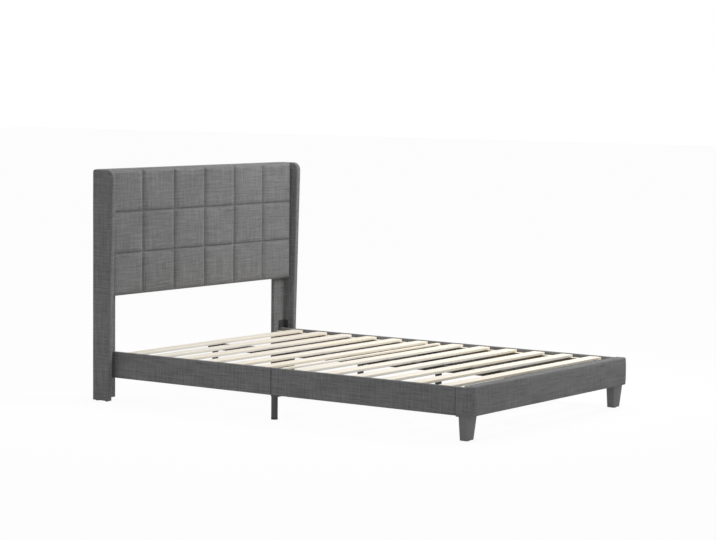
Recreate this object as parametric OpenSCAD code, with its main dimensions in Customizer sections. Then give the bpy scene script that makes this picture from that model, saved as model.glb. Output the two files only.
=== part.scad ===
// Upholstered bed frame with a tufted wing headboard and a slatted base.
// Millimetres. The origin is on the floor at the middle of the bed: X runs across, Y towards
// the headboard, Z up. Left is -X and right is +X, seen from the foot.

/* [Overall] */
// Width over the outer faces of the wings
bed_w = 1424; // [1300:1:1900]
// Length from the back of the headboard to the front of the foot rail
bed_l = 2040; // [1950:1:2200]
// Height of the headboard and its wings
bed_h = 1065; // [900:1:1300]
// Thickness of the upholstery fabric with its lining
cloth_t = 2; // [1:0.5:3]
// Height of the plastic glides under wings and foot legs
glide_h = 3; // [2:0.5:6]

/* [Wings] */
// Thickness of a wing with its padding
wing_t = 26; // [22:0.5:40]
// Depth of a wing at the floor
wing_floor_depth = 96; // [80:1:110]
// Depth of a wing at the top
wing_top_depth = 124; // [112:1:180]
// Radius of the top front corner of a wing
wing_corner_r = 40; // [20:1:60]
// Thickness of the padding on each face of a wing
wing_pad_t = 4; // [3:0.5:6]
// Rounding of the padded edges of a wing
wing_edge_r = 5; // [3:0.5:8]

/* [Headboard panel] */
// Height of the underside of the panel above the floor
panel_z = 482; // [350:1:600]
// Depth of the panel from its back to the crown of the tiles
panel_depth = 90; // [80:1:96]
// Thickness of the pad at the crown of a tile
pad_t = 23; // [18:0.5:30]
// Depth of the sewn seams below the crown
seam_depth = 9.5; // [4:0.5:14]
// Rounding of the rim of the pad
pad_rim = 3; // [2:0.5:6]
// Number of tiles across
tile_cols = 6; // [4:1:7]
// Number of tiles up
tile_rows = 3; // [2:1:4]
// Thickness of the plywood board behind the pad
ply_t = 12; // [9:1:15]
// Height of the top and bottom timbers of the hidden frame
timber_h = 34; // [25:1:60]
// Width of an inner upright of the hidden frame
upright_w = 45; // [30:1:70]
// Distance of an inner upright from the middle of the bed
upright_x = 228; // [150:1:300]
// Width of the cleat that ties a wing to the frame
cleat_w = 23; // [20:1:30]

/* [Posts] */
// Width of a covered post
post_w = 84; // [70:1:120]
// Thickness of a covered post
post_t = 20; // [16:0.5:24]
// Distance of the back of a post from the back of the headboard
post_set = 23; // [20:1:26]
// Height of the underside of a post above the floor
post_clear = 8; // [5:0.5:14]

/* [Side rails] */
// Height of the underside of the rails above the floor
rail_z = 107; // [90:1:200]
// Height of a rail
rail_h = 120; // [112:1:180]
// Thickness of a side rail with its fabric
rail_t = 22; // [20:0.5:30]
// Distance of the outer face of a rail from the inner face of a wing
rail_inset = 22; // [20:1:26]
// Rounding of the long edges of a side rail
rail_edge_r = 3; // [2:0.5:5]
// Place of the seam between the two halves of a side rail
joint_y = 21; // [-60:1:60]
// Width of an upholstery seam between two pieces
seam_gap = 1; // [0.5:0.1:2]

/* [Foot rail] */
// Thickness of the foot rail
foot_t = 50; // [44:1:70]
// Radius of the corners of the foot rail
foot_corner_r = 30; // [20:1:40]
// Rise of the padded foot rail over the side rails
foot_rise = 5; // [3:0.5:8]
// Rounding of the top front edge of the foot rail
foot_edge_r = 9; // [8:0.5:18]
// Rounding of the bottom front edge of the foot rail
foot_hem_r = 5; // [3:0.5:8]
// Length of the corner return along the side of the bed
foot_return = 80; // [75:1:140]
// Thickness of the board inside the foot rail
foot_board_t = 20; // [16:0.5:25]
// Thickness of the timber corner blocks
corner_block_t = 25; // [20:1:30]
// Height of the timber corner blocks
corner_block_h = 62; // [50:1:68]
// Depth of the screws below the top of a corner block
block_screw_drop = 13; // [8:1:20]
// Reach of a corner block along the side of the bed
corner_block_side = 110; // [95:1:150]
// Reach of a corner block along the foot rail
corner_block_foot = 82; // [70:1:140]

/* [Foot legs] */
// Width of a foot leg at the top
leg_top_w = 82; // [64:1:90]
// Width of a foot leg at the floor
leg_low_w = 57; // [44:1:62]
// Depth of a foot leg at the top
leg_top_d = 40; // [38:1:60]
// Depth of a foot leg at the floor
leg_low_d = 33; // [26:1:37]
// Distance of a foot leg from the outer face of the side rail
leg_side_set = 2; // [2:1:20]
// Distance of a foot leg from the front of the foot rail
leg_front_set = 26; // [20:1:27]
// Thickness of the mounting flange at the top of a foot leg
leg_flange_t = 4; // [3:0.5:8]
// Length of the flange behind a foot leg
leg_flange_l = 14; // [12:1:25]

/* [Slats] */
// Width of a slat
slat_w = 60; // [50:1:80]
// Thickness of a slat
slat_t = 12; // [10:0.5:20]
// Depth of the top of the slats below the top of the rails
slat_drop = 2; // [0:0.5:10]
// Distance from slat to slat
slat_pitch = 151; // [120:1:170]
// Place of the middle of the gap between the two groups of slats
slat_mid_y = -8; // [-30:1:20]
// Clear gap between the two groups of slats
slat_mid_gap = 144; // [110:1:180]
// Least distance of a slat from the ends of the base
slat_end_room = 50; // [40:1:80]
// Gap between the end of a slat and the rail
slat_end_gap = 5; // [2:0.5:8]
// Width of the ledges that carry the slats
ledge_w = 27; // [20:1:35]
// Height of the ledges
ledge_h = 30; // [24:1:34]
// Thickness of the hook and loop pads on the ledges
grip_t = 1; // [0.5:0.25:2]
// Width of a hook and loop pad
grip_w = 18; // [12:1:20]
// Width of the cross batten between the two groups of slats
crossbar_w = 21; // [15:1:30]
// Thickness of the cross batten
crossbar_t = 9; // [8:0.5:10]
// Distance of the cross batten from the seam of the side rails
crossbar_set = 19; // [10:1:25]

/* [Middle supports] */
// Side of the square tube of the centre beam
beam_s = 30; // [25:1:34]
// Wall of the steel tubes
tube_wall = 1.5; // [1:0.25:2.5]
// Diameter of a tube leg
tube_d = 29; // [25:1:32]
// Distance between two centre legs
centre_pitch = 430; // [350:1:440]
// Distance of the middle legs from the seam of the side rails
mid_leg_set = 10.5; // [8:0.5:13]
// Width of the top plate of a middle leg
mid_plate_w = 30; // [26:1:34]
// Length of the top plate of a middle leg
mid_plate_l = 40; // [34:1:46]
// Thickness of the top plate of a middle leg
mid_plate_t = 5; // [3:0.5:8]
// Length of the top plate of a centre leg
centre_plate_l = 64; // [56:1:80]
// Thickness of the top plate of a centre leg
centre_plate_t = 3; // [2:0.5:5]
// Length of the joining tube inside the centre beam
joiner_l = 160; // [120:1:240]
// Reach of the beam seat in front of the foot rail
beam_seat_l = 40; // [30:1:60]
// Width of the back plate of the beam seat
beam_seat_w = 72; // [68:1:90]
// Height of the back plate of the beam seat
beam_seat_h = 40; // [36:1:44]
// Diameter of the pad of a level foot
foot_pad_d = 30; // [26:1:36]
// Height of the pad of a level foot
foot_pad_h = 8; // [6:1:12]
// Length of the threaded stem of a level foot
stem_l = 36; // [30:1:45]
// Depth of the threaded plug inside a tube leg
plug_h = 18; // [15:1:25]
// Height of the rim of the threaded plug below the tube
plug_rim_h = 2; // [1:0.5:3]

/* [Steel plates] */
// Thickness of the steel brackets and plates
steel_t = 3; // [2:0.5:4]
// Width of a corner bracket on the post
bracket_post_w = 46; // [42:1:48]
// Width of a corner bracket on the wing
bracket_wing_w = 27; // [24:1:34]
// Depth of the upper bracket bolts below the top of a corner bracket
bracket_bolt_drop = 27; // [20:1:29]
// Height of the lower bracket bolts above the bottom of a corner bracket
bracket_bolt_rise = 24; // [10:1:40]
// Distance of the lower post bolt of a corner bracket from the wing
bracket_corner_set = 12; // [11:0.5:14]
// Height of a corner bracket above the top of the rail
bracket_rise = 37; // [30:1:60]
// Height of the bottom of a corner bracket above the underside of the rail
bracket_low = 10; // [4:1:14]
// Radius of the corners of the steel plates
plate_r = 4; // [2:0.5:6]
// Length of the joint plate over the seam of a side rail
joint_plate_l = 200; // [180:1:260]
// Height of a joint plate
joint_plate_h = 60; // [40:1:64]
// Gap between a joint plate and the ledges above it
joint_plate_gap = 5; // [2:0.5:8]

/* [Fasteners] */
// Diameter of the bed bolts and of the studs in the legs
bed_bolt_d = 8; // [6:0.5:8]
// Length of a bed bolt
bed_bolt_l = 75; // [70:1:85]
// Distance of the upper bed bolt below the top of the rail
bed_bolt_drop = 59; // [55:1:62]
// Distance between the two bed bolts of a corner
bed_bolt_pitch = 38; // [34:1:40]
// Diameter of a barrel nut
barrel_d = 12; // [10:0.5:13]
// Length of a barrel nut
barrel_l = 15; // [12:0.5:16]
// Diameter of a bracket bolt
bolt_d = 6; // [5:0.5:6]
// Length of a bracket bolt
bolt_l = 18; // [14:0.5:19]
// Diameter of a wood screw
screw_d = 4.5; // [4:0.25:5]
// Length of a wood screw
screw_l = 35; // [31:1:35]
// Distance of a bolt from the free edge of its plate
bolt_edge = 8; // [7.5:0.5:9]
// Length of a stud in a leg
stud_l = 76; // [60:1:84]
// Play around a fastener in its hole
hole_play = 0.2; // [0.1:0.05:0.4]
// Running play around the stem of a level foot
stem_play = 0.05; // [0.02:0.01:0.08]

/* [Hidden] */
$fn = 48;
hull_fn = 32;
corner_steps = 8;
cut = 1;

head_y = bed_l / 2;
foot_y = -bed_l / 2;
inner_x = bed_w / 2 - wing_t;
wing_mid_x = bed_w / 2 - wing_t / 2;

// Slope of the front edge of a wing
wing_lean = atan((wing_top_depth - wing_floor_depth) / (bed_h - glide_h));
wing_front_y = head_y - wing_floor_depth;

// Layers of the headboard, from the front to the back
crown_y = head_y - panel_depth;
ply_y = crown_y + pad_t;
frame_y = ply_y + ply_t;
frame_back_y = head_y - cloth_t;
frame_low = panel_z + cloth_t;
frame_top = bed_h - cloth_t;

post_back = head_y - post_set;
post_front = post_back - post_t;
post_board_in = inner_x - post_w + cloth_t;
post_board_out = inner_x - cloth_t;

rail_x = inner_x - rail_inset;
rail_in = rail_x - rail_t;
rail_mid_x = rail_x - rail_t / 2;
rail_top = rail_z + rail_h;
rail_head_end = post_front - steel_t;

foot_in = foot_y + foot_t;
foot_seam = foot_y + foot_return;
foot_board_back = foot_in - cloth_t;
foot_board_front = foot_board_back - foot_board_t;

leg_x = rail_x - leg_side_set - leg_top_w / 2;
leg_front = foot_y + leg_front_set;
leg_back = leg_front + leg_top_d;
leg_stud_y = (foot_board_front + foot_board_back) / 2;

slat_top = rail_top - slat_drop;
slat_z = slat_top - slat_t;
slat_end = rail_in - slat_end_gap;
ledge_top = slat_z - grip_t;
ledge_in = rail_in - ledge_w;
ledge_low = ledge_top - ledge_h;
head_slat_first = slat_mid_y + slat_mid_gap / 2 + slat_w / 2;
foot_slat_first = slat_mid_y - slat_mid_gap / 2 - slat_w / 2;
head_slat_last = rail_head_end - slat_end_room - slat_w / 2;
foot_slat_last = foot_in + slat_end_room + slat_w / 2;
head_slats = [for (y = [head_slat_first : slat_pitch : head_slat_last]) y];
foot_slats = [for (y = [foot_slat_first : -slat_pitch : foot_slat_last]) y];
crossbar_y = joint_y - crossbar_set;

beam_low = slat_z - beam_s;
mid_leg_y = joint_y - mid_leg_set;
mid_leg_x = rail_x - tube_d / 2;
centre_rows = [-1, 0, 1, 2];
beam_head_end = mid_leg_y + centre_pitch * centre_rows[3] + centre_plate_l / 2;
beam_foot_end = foot_in + steel_t + seam_gap;
tube_low = foot_pad_h + plug_rim_h;
centre_tube_top = beam_low - centre_plate_t;
mid_tube_top = rail_z - mid_plate_t;
centre_screw_y = centre_plate_l / 2 - bolt_edge;

bracket_z = rail_z + bracket_low;
bracket_top = rail_top + bracket_rise;
joint_plate_z = ledge_low - joint_plate_gap - joint_plate_h;
block_z = rail_z;
block_top = block_z + corner_block_h;

// Heads of the fasteners
bed_head_d = 16;
bed_head_h = 5;
bolt_head_d = 12;
bolt_head_h = 4;
screw_head_d = 9;
screw_head_h = 2.5;
ledge_sink = 8;
centre_screw_l = 10;
barrel_back = 8;
nail_d = 2.5;
nail_l = 14;
glide_d = 14;
leg_glide_d = 24;

// Turns that point the head of a fastener along an axis
head_to_front = [90, 0, 0];
head_to_back = [-90, 0, 0];
head_inward = [0, -90, 0];
head_down = [180, 0, 0];

// Places of the fasteners on the right side of the bed
bracket_post_bolts = [
    [inner_x - bracket_post_w + bolt_edge, rail_head_end, bracket_top - bracket_bolt_drop],
    [inner_x - bracket_corner_set, rail_head_end, bracket_z + bracket_bolt_rise]
];
bracket_wing_bolts = [
    for (z = [bracket_top - bracket_bolt_drop, bracket_z + bracket_bolt_rise])
        [inner_x - steel_t, post_front - bracket_wing_w + bolt_edge, z]
];
bed_bolts_at = [
    for (k = [0, 1]) [rail_mid_x, post_back, rail_top - bed_bolt_drop - k * bed_bolt_pitch]
];
barrel_y = post_back - bed_bolt_l + barrel_back;
joint_bolts = [
    for (k = [-1, -0.4, 0.4, 1])
        [rail_in - steel_t, joint_y + k * (joint_plate_l / 2 - 1.5 * bolt_edge),
         joint_plate_z + joint_plate_h / 2]
];
seat_bolts = [
    for (s = [-1, 1])
        [s * (beam_seat_w / 2 - bolt_edge), foot_in + steel_t, beam_low + beam_s / 2]
];
cleat_zs = [for (k = [0.1, 0.5, 0.9]) frame_low + k * (frame_top - frame_low)];
cleat_wing_screws = [
    for (z = cleat_zs) [inner_x - cleat_w, (post_back + frame_back_y) / 2, z]
];
cleat_post_screws = [
    for (z = cleat_zs) [inner_x - cleat_w / 2, frame_back_y, z + 3 * screw_head_d]
];
block_screw_z = block_top - block_screw_drop;
block_side_screws = [
    for (y = [foot_seam + 2 * bolt_edge, foot_in + corner_block_side - bolt_edge])
        [rail_in - corner_block_t, y, block_screw_z]
];
block_foot_screws = [
    for (x = [bolt_edge, corner_block_foot - corner_block_t - bolt_edge])
        [rail_in - corner_block_foot + x, foot_in + corner_block_t, block_screw_z]
];
ledge_sides = [[foot_in + cloth_t, joint_y - seam_gap / 2], [joint_y + seam_gap / 2, rail_head_end - cloth_t]];
ledge_screws = [
    for (side = ledge_sides, k = [0.06, 0.35, 0.65, 0.94])
        [ledge_in + ledge_sink, side[0] + k * (side[1] - side[0]), ledge_low + ledge_h / 2]
];
leg_flange_screws = [
    for (s = [-1, 1]) [leg_x + s * leg_low_w / 3.5, leg_back + leg_flange_l / 2, rail_z - leg_flange_t]
];
centre_screws = [
    for (row = centre_rows, s = [-1, 1])
        [0, mid_leg_y + row * centre_pitch + s * centre_screw_y, beam_low - centre_plate_t]
];
studs = [
    [leg_x, leg_stud_y, rail_z],
    [mid_leg_x, mid_leg_y, rail_z]
];
wing_glides = [[wing_mid_x, head_y - 1.4 * glide_d, 0], [wing_mid_x, wing_front_y + 1.4 * glide_d, 0]];
leg_glide = [leg_x, leg_back - leg_low_d / 2, 0];

fabric = [0.30, 0.30, 0.31];
pine = [0.90, 0.82, 0.66];
raw_ply = [0.80, 0.66, 0.46];
black_steel = [0.12, 0.12, 0.13];
zinc = [0.72, 0.73, 0.75];
black_plastic = [0.10, 0.10, 0.11];
grey_plastic = [0.26, 0.26, 0.27];
foam = [0.90, 0.88, 0.78];

// Helpers

module block(low, high) {
    translate(low) cube(high - low);
}

module both_sides() {
    children();
    mirror([1, 0, 0]) children();
}

module left_side() {
    mirror([1, 0, 0]) children();
}

// Rectangle with round corners, centred on the origin
module round_rect(w, h, r) {
    square([w - 2 * r, h], center = true);
    square([w, h - 2 * r], center = true);
    for (x = [-1, 1], y = [-1, 1])
        translate([x * (w / 2 - r), y * (h / 2 - r)]) circle(r);
}

module at(places, turn) {
    for (place = places) translate(place) rotate(turn) children();
}

// Head above the origin, shank below it
module fastener(d, l, head_d, head_h) {
    cylinder(d = head_d, h = head_h);
    translate([0, 0, -l]) cylinder(d = d, h = l + head_h / 2);
}

// Cut for a shank of length l, open above by the given height
module shank_hole(d, l, above = cut) {
    translate([0, 0, -l - cut]) cylinder(d = d + 2 * hole_play, h = l + cut + above);
}

module bracket_bolt() {
    fastener(bolt_d, bolt_l, bolt_head_d, bolt_head_h);
}

module wood_screw() {
    fastener(screw_d, screw_l, screw_head_d, screw_head_h);
}

// Stud, half below and half above the origin
module stud() {
    translate([0, 0, -stud_l / 2]) cylinder(d = bed_bolt_d, h = stud_l);
}

module stud_hole() {
    translate([0, 0, -stud_l / 2 - cut]) cylinder(d = bed_bolt_d + 2 * hole_play, h = stud_l + 2 * cut);
}

module glide(d) {
    cylinder(d = d, h = glide_h);
    cylinder(d = nail_d, h = nail_l);
}

module nail_hole() {
    cylinder(d = nail_d + 2 * hole_play, h = nail_l + cut);
}

// Wings

// Side view of a wing from a low edge up, moved in from the front, back and top by the inset
module wing_outline(inset, low) {
    r = wing_corner_r - inset;
    centre = [
        wing_front_y - (bed_h - wing_corner_r - glide_h) * tan(wing_lean) + wing_corner_r / cos(wing_lean),
        bed_h - wing_corner_r
    ];
    polygon([
        [head_y - inset, low],
        [wing_front_y + inset / cos(wing_lean) - (low - glide_h) * tan(wing_lean), low],
        for (k = [0 : corner_steps]) let (angle = 180 + wing_lean - k / corner_steps * (90 + wing_lean))
            centre + r * [cos(angle), sin(angle)],
        [head_y - inset, bed_h - inset]
    ]);
}

module wing_slab(inset, half, low = glide_h) {
    translate([wing_mid_x - half, 0, 0])
        rotate([90, 0, 90]) linear_extrude(2 * half) wing_outline(inset, low);
}

module wing_cuts() {
    at(bracket_wing_bolts, head_inward) shank_hole(bolt_d, bolt_l);
    at(cleat_wing_screws, head_inward) shank_hole(screw_d, screw_l);
    at(wing_glides, [0, 0, 0]) nail_hole();
}

module wing_board() {
    color(raw_ply) difference() {
        wing_slab(wing_pad_t, wing_t / 2 - wing_pad_t);
        wing_cuts();
    }
}

module wing_cover() {
    color(fabric) difference() {
        hull() for (angle = [0, 30, 60, 90])
            wing_slab(wing_edge_r * (1 - cos(angle)), wing_t / 2 - wing_edge_r * (1 - sin(angle)));
        wing_slab(wing_pad_t, wing_t / 2 - wing_pad_t, glide_h - cut);
        at(bracket_wing_bolts, head_inward) shank_hole(bolt_d, bolt_l);
        at(cleat_wing_screws, head_inward) shank_hole(screw_d, screw_l);
    }
}

module left_wing_board() { left_side() wing_board(); }
module right_wing_board() { wing_board(); }
module left_wing_cover() { left_side() wing_cover(); }
module right_wing_cover() { wing_cover(); }

// Posts

module post_blank(low, high) {
    block(
        [post_board_in, post_front + cloth_t, low],
        [post_board_out, post_back - cloth_t, high]
    );
}

module post_cuts() {
    at(bracket_post_bolts, head_to_front) shank_hole(bolt_d, bolt_l);
    at(bed_bolts_at, head_to_back) shank_hole(bed_bolt_d, bed_bolt_l);
    at(cleat_post_screws, head_to_back) shank_hole(screw_d, screw_l + screw_head_h);
}

module post_board() {
    color(raw_ply) difference() {
        post_blank(post_clear, frame_top);
        post_cuts();
    }
}

module post_cover() {
    color(fabric) difference() {
        translate([inner_x - post_w / 2, (post_front + post_back) / 2, post_clear])
            linear_extrude(panel_z - post_clear) round_rect(post_w, post_t, cloth_t);
        post_blank(0, bed_h);
        at(bracket_post_bolts, head_to_front) shank_hole(bolt_d, bolt_l);
        at(bed_bolts_at, head_to_back) shank_hole(bed_bolt_d, bed_bolt_l);
    }
}

module left_post_board() { left_side() post_board(); }
module right_post_board() { post_board(); }
module left_post_cover() { left_side() post_cover(); }
module right_post_cover() { post_cover(); }

// Headboard panel

// Height of a tile at a place from 0 to 1 across it: a flat crown that falls fast at the seams
function crown(t) = 1 - pow(abs(2 * t - 1), 8);

tile_steps = [0, 0.04, 0.16, 0.5, 0.84, 0.96];
function tile_places(count) = [
    for (i = [0 : count - 1], t = tile_steps) (i + t) / count,
    1
];
function tile_crowns(count) = [
    for (i = [0 : count - 1], t = tile_steps) crown(t),
    0
];

module headboard_pad() {
    xs = tile_places(tile_cols);
    zs = tile_places(tile_rows);
    x_crowns = tile_crowns(tile_cols);
    z_crowns = tile_crowns(tile_rows);
    half = inner_x - seam_gap / 4;
    seam_y = crown_y + seam_depth;
    nx = len(xs);
    nz = len(zs);
    last_x = nx - 1;
    last_z = nz - 1;
    rim_count = 2 * (last_x + last_z);
    front = [
        for (j = [0 : last_z], i = [0 : last_x])
            [(2 * xs[i] - 1) * (half - pad_rim),
             seam_y - seam_depth * x_crowns[i] * z_crowns[j],
             panel_z + pad_rim + zs[j] * (bed_h - panel_z - 2 * pad_rim)]
    ];
    // Column and row of each rim place, anticlockwise from the low left corner, seen from the front
    rim = [
        for (i = [0 : last_x - 1]) [i, 0],
        for (j = [0 : last_z - 1]) [last_x, j],
        for (i = [last_x : -1 : 1]) [i, last_z],
        for (j = [last_z : -1 : 1]) [0, j]
    ];
    function rim_point(k, y) = [
        (2 * xs[rim[k][0]] - 1) * half,
        y,
        panel_z + zs[rim[k][1]] * (bed_h - panel_z)
    ];
    bend = [for (k = [0 : rim_count - 1]) rim_point(k, seam_y + pad_rim)];
    back = [for (k = [0 : rim_count - 1]) rim_point(k, ply_y)];
    points = concat(front, bend, back, [[0, ply_y, (panel_z + bed_h) / 2]]);
    bend_at = nx * nz;
    back_at = bend_at + rim_count;
    middle = back_at + rim_count;
    function front_at(k) = rim[k][1] * nx + rim[k][0];
    function next(k) = (k + 1) % rim_count;
    faces = [
        for (j = [0 : last_z - 1], i = [0 : last_x - 1]) let (a = j * nx + i)
            each [[a, a + nx, a + nx + 1], [a, a + nx + 1, a + 1]],
        for (k = [0 : rim_count - 1])
            each [
                [front_at(k), front_at(next(k)), bend_at + next(k)],
                [front_at(k), bend_at + next(k), bend_at + k],
                [bend_at + k, bend_at + next(k), back_at + next(k)],
                [bend_at + k, back_at + next(k), back_at + k],
                [back_at + k, back_at + next(k), middle]
            ]
    ];
    color(fabric) polyhedron(points, faces);
}

module headboard_board() {
    color(raw_ply) block([-inner_x + cloth_t, ply_y, frame_low], [inner_x - cloth_t, frame_y, frame_top]);
}

module headboard_top_rail() {
    color(pine) block(
        [-post_board_in, frame_y, frame_top - timber_h],
        [post_board_in, frame_back_y, frame_top]
    );
}

module headboard_bottom_rail() {
    color(pine) block(
        [-post_board_in, frame_y, frame_low],
        [post_board_in, frame_back_y, frame_low + timber_h]
    );
}

// Two inner uprights, and two battens between the board and the posts
module headboard_uprights() {
    color(pine) both_sides() {
        block(
            [upright_x - upright_w / 2, frame_y, frame_low + timber_h],
            [upright_x + upright_w / 2, frame_back_y, frame_top - timber_h]
        );
        block(
            [post_board_in, frame_y, frame_low],
            [post_board_out, post_front + cloth_t, frame_top]
        );
    }
}

module wing_cleats() {
    color(pine) both_sides() difference() {
        block(
            [inner_x - cleat_w, post_back - cloth_t, frame_low],
            [inner_x, frame_back_y, frame_top]
        );
        at(cleat_wing_screws, head_inward) shank_hole(screw_d, screw_l);
        at(cleat_post_screws, head_to_back) {
            shank_hole(screw_d, screw_l);
            translate([0, 0, -screw_head_h]) cylinder(d = screw_head_d + hole_play, h = screw_head_h + cut);
        }
    }
}

// Cloth over the back, turned in over the top and under the bottom of the frame
module headboard_back_cover() {
    half = inner_x - seam_gap / 4;
    color(fabric) difference() {
        union() {
            block([-half, frame_back_y, panel_z], [half, head_y, bed_h]);
            block([-half, ply_y, frame_top], [half, head_y, bed_h]);
            block([-half, ply_y, panel_z], [half, head_y, frame_low]);
        }
        both_sides() post_blank(0, frame_top);
    }
}

// Corner brackets

module corner_bracket() {
    h = bracket_top - bracket_z;
    color(black_steel) difference() {
        union() {
            translate([inner_x - bracket_post_w / 2, post_front, bracket_z + h / 2])
                rotate([90, 0, 0]) linear_extrude(steel_t) round_rect(bracket_post_w, h, plate_r);
            translate([inner_x - steel_t, post_front - bracket_wing_w / 2, bracket_z + h / 2])
                rotate([90, 0, 90]) linear_extrude(steel_t) round_rect(bracket_wing_w, h, plate_r);
            block(
                [inner_x - steel_t, rail_head_end, bracket_z + plate_r],
                [inner_x, post_front, bracket_top - plate_r]
            );
        }
        at(bracket_post_bolts, head_to_front) shank_hole(bolt_d, bolt_l);
        at(bracket_wing_bolts, head_inward) shank_hole(bolt_d, bolt_l);
        at(bed_bolts_at, head_to_back) shank_hole(bed_bolt_d, bed_bolt_l);
    }
}

module left_corner_bracket() { left_side() corner_bracket(); }
module right_corner_bracket() { corner_bracket(); }

// Side rails

module rail_bar(y0, y1) {
    translate([rail_mid_x, y1, rail_z + rail_h / 2])
        rotate([90, 0, 0]) linear_extrude(y1 - y0) round_rect(rail_t, rail_h, rail_edge_r);
}

module rail_core(y0, y1) {
    block([rail_in + cloth_t, y0, rail_z + cloth_t], [rail_x - cloth_t, y1, rail_top - cloth_t]);
}

module rail_cuts() {
    at(bed_bolts_at, head_to_back) shank_hole(bed_bolt_d, bed_bolt_l);
    for (place = bed_bolts_at)
        translate([rail_in - cut, barrel_y, place[2]])
            rotate([0, 90, 0]) cylinder(d = barrel_d + 2 * hole_play, h = rail_t / 2 + barrel_l / 2 + cut);
    at(joint_bolts, head_inward) shank_hole(bolt_d, bolt_l);
    at(ledge_screws, head_inward) shank_hole(screw_d, screw_l);
    at(block_side_screws, head_inward) shank_hole(screw_d, screw_l);
    at([studs[1]], [0, 0, 0]) stud_hole();
}

module rail_head_board() {
    color(raw_ply) difference() {
        rail_core(joint_y + seam_gap / 2 + cloth_t, rail_head_end);
        rail_cuts();
    }
}

module rail_foot_board() {
    color(raw_ply) difference() {
        rail_core(foot_seam + seam_gap / 2 + cloth_t, joint_y - seam_gap / 2 - cloth_t);
        rail_cuts();
    }
}

module rail_head_cover() {
    color(fabric) difference() {
        rail_bar(joint_y + seam_gap / 2, rail_head_end);
        rail_core(joint_y + seam_gap / 2 + cloth_t, rail_head_end + cut);
        rail_cuts();
    }
}

module rail_foot_cover() {
    color(fabric) difference() {
        rail_bar(foot_seam + seam_gap / 2, joint_y - seam_gap / 2);
        rail_core(foot_seam + seam_gap / 2 + cloth_t, joint_y - seam_gap / 2 - cloth_t);
        rail_cuts();
    }
}

module left_rail_head_board() { left_side() rail_head_board(); }
module left_rail_foot_board() { left_side() rail_foot_board(); }
module right_rail_head_board() { rail_head_board(); }
module right_rail_foot_board() { rail_foot_board(); }
module left_rail_head_cover() { left_side() rail_head_cover(); }
module left_rail_foot_cover() { left_side() rail_foot_cover(); }
module right_rail_head_cover() { rail_head_cover(); }
module right_rail_foot_cover() { rail_foot_cover(); }

module joint_plate() {
    color(black_steel) difference() {
        translate([rail_in - steel_t, joint_y, joint_plate_z + joint_plate_h / 2])
            rotate([90, 0, 90]) linear_extrude(steel_t) round_rect(joint_plate_l, joint_plate_h, plate_r);
        at(joint_bolts, head_inward) shank_hole(bolt_d, bolt_l);
    }
}

module left_joint_plate() { left_side() joint_plate(); }
module right_joint_plate() { joint_plate(); }

module slat_ledges() {
    color(pine) both_sides() difference() {
        for (side = ledge_sides)
            block([ledge_in, side[0], ledge_low], [rail_in, side[1], ledge_top]);
        at(ledge_screws, head_inward) {
            shank_hole(screw_d, screw_l);
            cylinder(d = screw_head_d + 2 * hole_play, h = ledge_sink + cut);
        }
    }
}

// Foot rail

// Half section of the foot rail at a corner, with a round top edge and a round hem
module foot_section(r, h, edge, hem) {
    polygon([
        [0, 0],
        for (angle = [-90 : 30 : 0]) [r - hem + hem * cos(angle), hem + hem * sin(angle)],
        for (angle = [0 : 15 : 90]) [r - edge + edge * cos(angle), h - edge + edge * sin(angle)],
        [0, h]
    ]);
}

// Outside of the foot rail, moved in on all sides by the inset
module foot_form(inset) {
    h = rail_h + foot_rise - 2 * inset;
    hull() {
        both_sides() translate([rail_x - foot_corner_r, foot_y + foot_corner_r, rail_z + inset])
            rotate([0, 0, 180]) rotate_extrude(angle = 180, $fn = hull_fn)
                foot_section(foot_corner_r - inset, h, foot_edge_r - inset, foot_hem_r - inset);
        translate([0, foot_in - inset, rail_z + inset + h / 2])
            rotate([90, 0, 0]) linear_extrude(cut)
                round_rect(2 * (rail_x - inset), h, rail_edge_r - inset / 2, $fn = hull_fn);
    }
}

module return_core() {
    rail_core(foot_board_back, foot_seam - seam_gap / 2 - cloth_t);
}

module foot_cuts() {
    at(seat_bolts, head_to_back) shank_hole(bolt_d, bolt_l);
    both_sides() {
        at(block_foot_screws, head_to_back) shank_hole(screw_d, screw_l);
        at([studs[0]], [0, 0, 0]) stud_hole();
    }
}

module foot_rail_board() {
    color(raw_ply) difference() {
        intersection() {
            foot_form(cloth_t);
            block([-rail_x, foot_board_front, 0], [rail_x, foot_board_back, rail_top]);
        }
        foot_cuts();
    }
}

module foot_rail_foam() {
    color(foam) difference() {
        foot_form(cloth_t);
        block([-rail_x, foot_board_front, 0], [rail_x, foot_in, rail_top]);
    }
}

module foot_return_boards() {
    color(raw_ply) both_sides() return_core();
}

module foot_rail_cover() {
    color(fabric) difference() {
        union() {
            foot_form(0);
            both_sides() rail_bar(foot_board_back, foot_seam - seam_gap / 2);
        }
        foot_form(cloth_t);
        both_sides() return_core();
        foot_cuts();
        both_sides() at(leg_flange_screws, head_down) shank_hole(screw_d, screw_l);
    }
}

// L-shaped timber in each corner of the foot rail
module foot_corner_blocks() {
    color(pine) both_sides() difference() {
        union() {
            block(
                [rail_in - corner_block_t, foot_in, block_z],
                [rail_in, foot_in + corner_block_side, block_top]
            );
            block(
                [rail_in - corner_block_foot, foot_in, block_z],
                [rail_in, foot_in + corner_block_t, block_top]
            );
        }
        at(block_side_screws, head_inward) shank_hole(screw_d, screw_l);
        at(block_foot_screws, head_to_back) shank_hole(screw_d, screw_l);
        at(leg_flange_screws, head_down) shank_hole(screw_d, screw_l);
    }
}

// Foot legs

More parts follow.
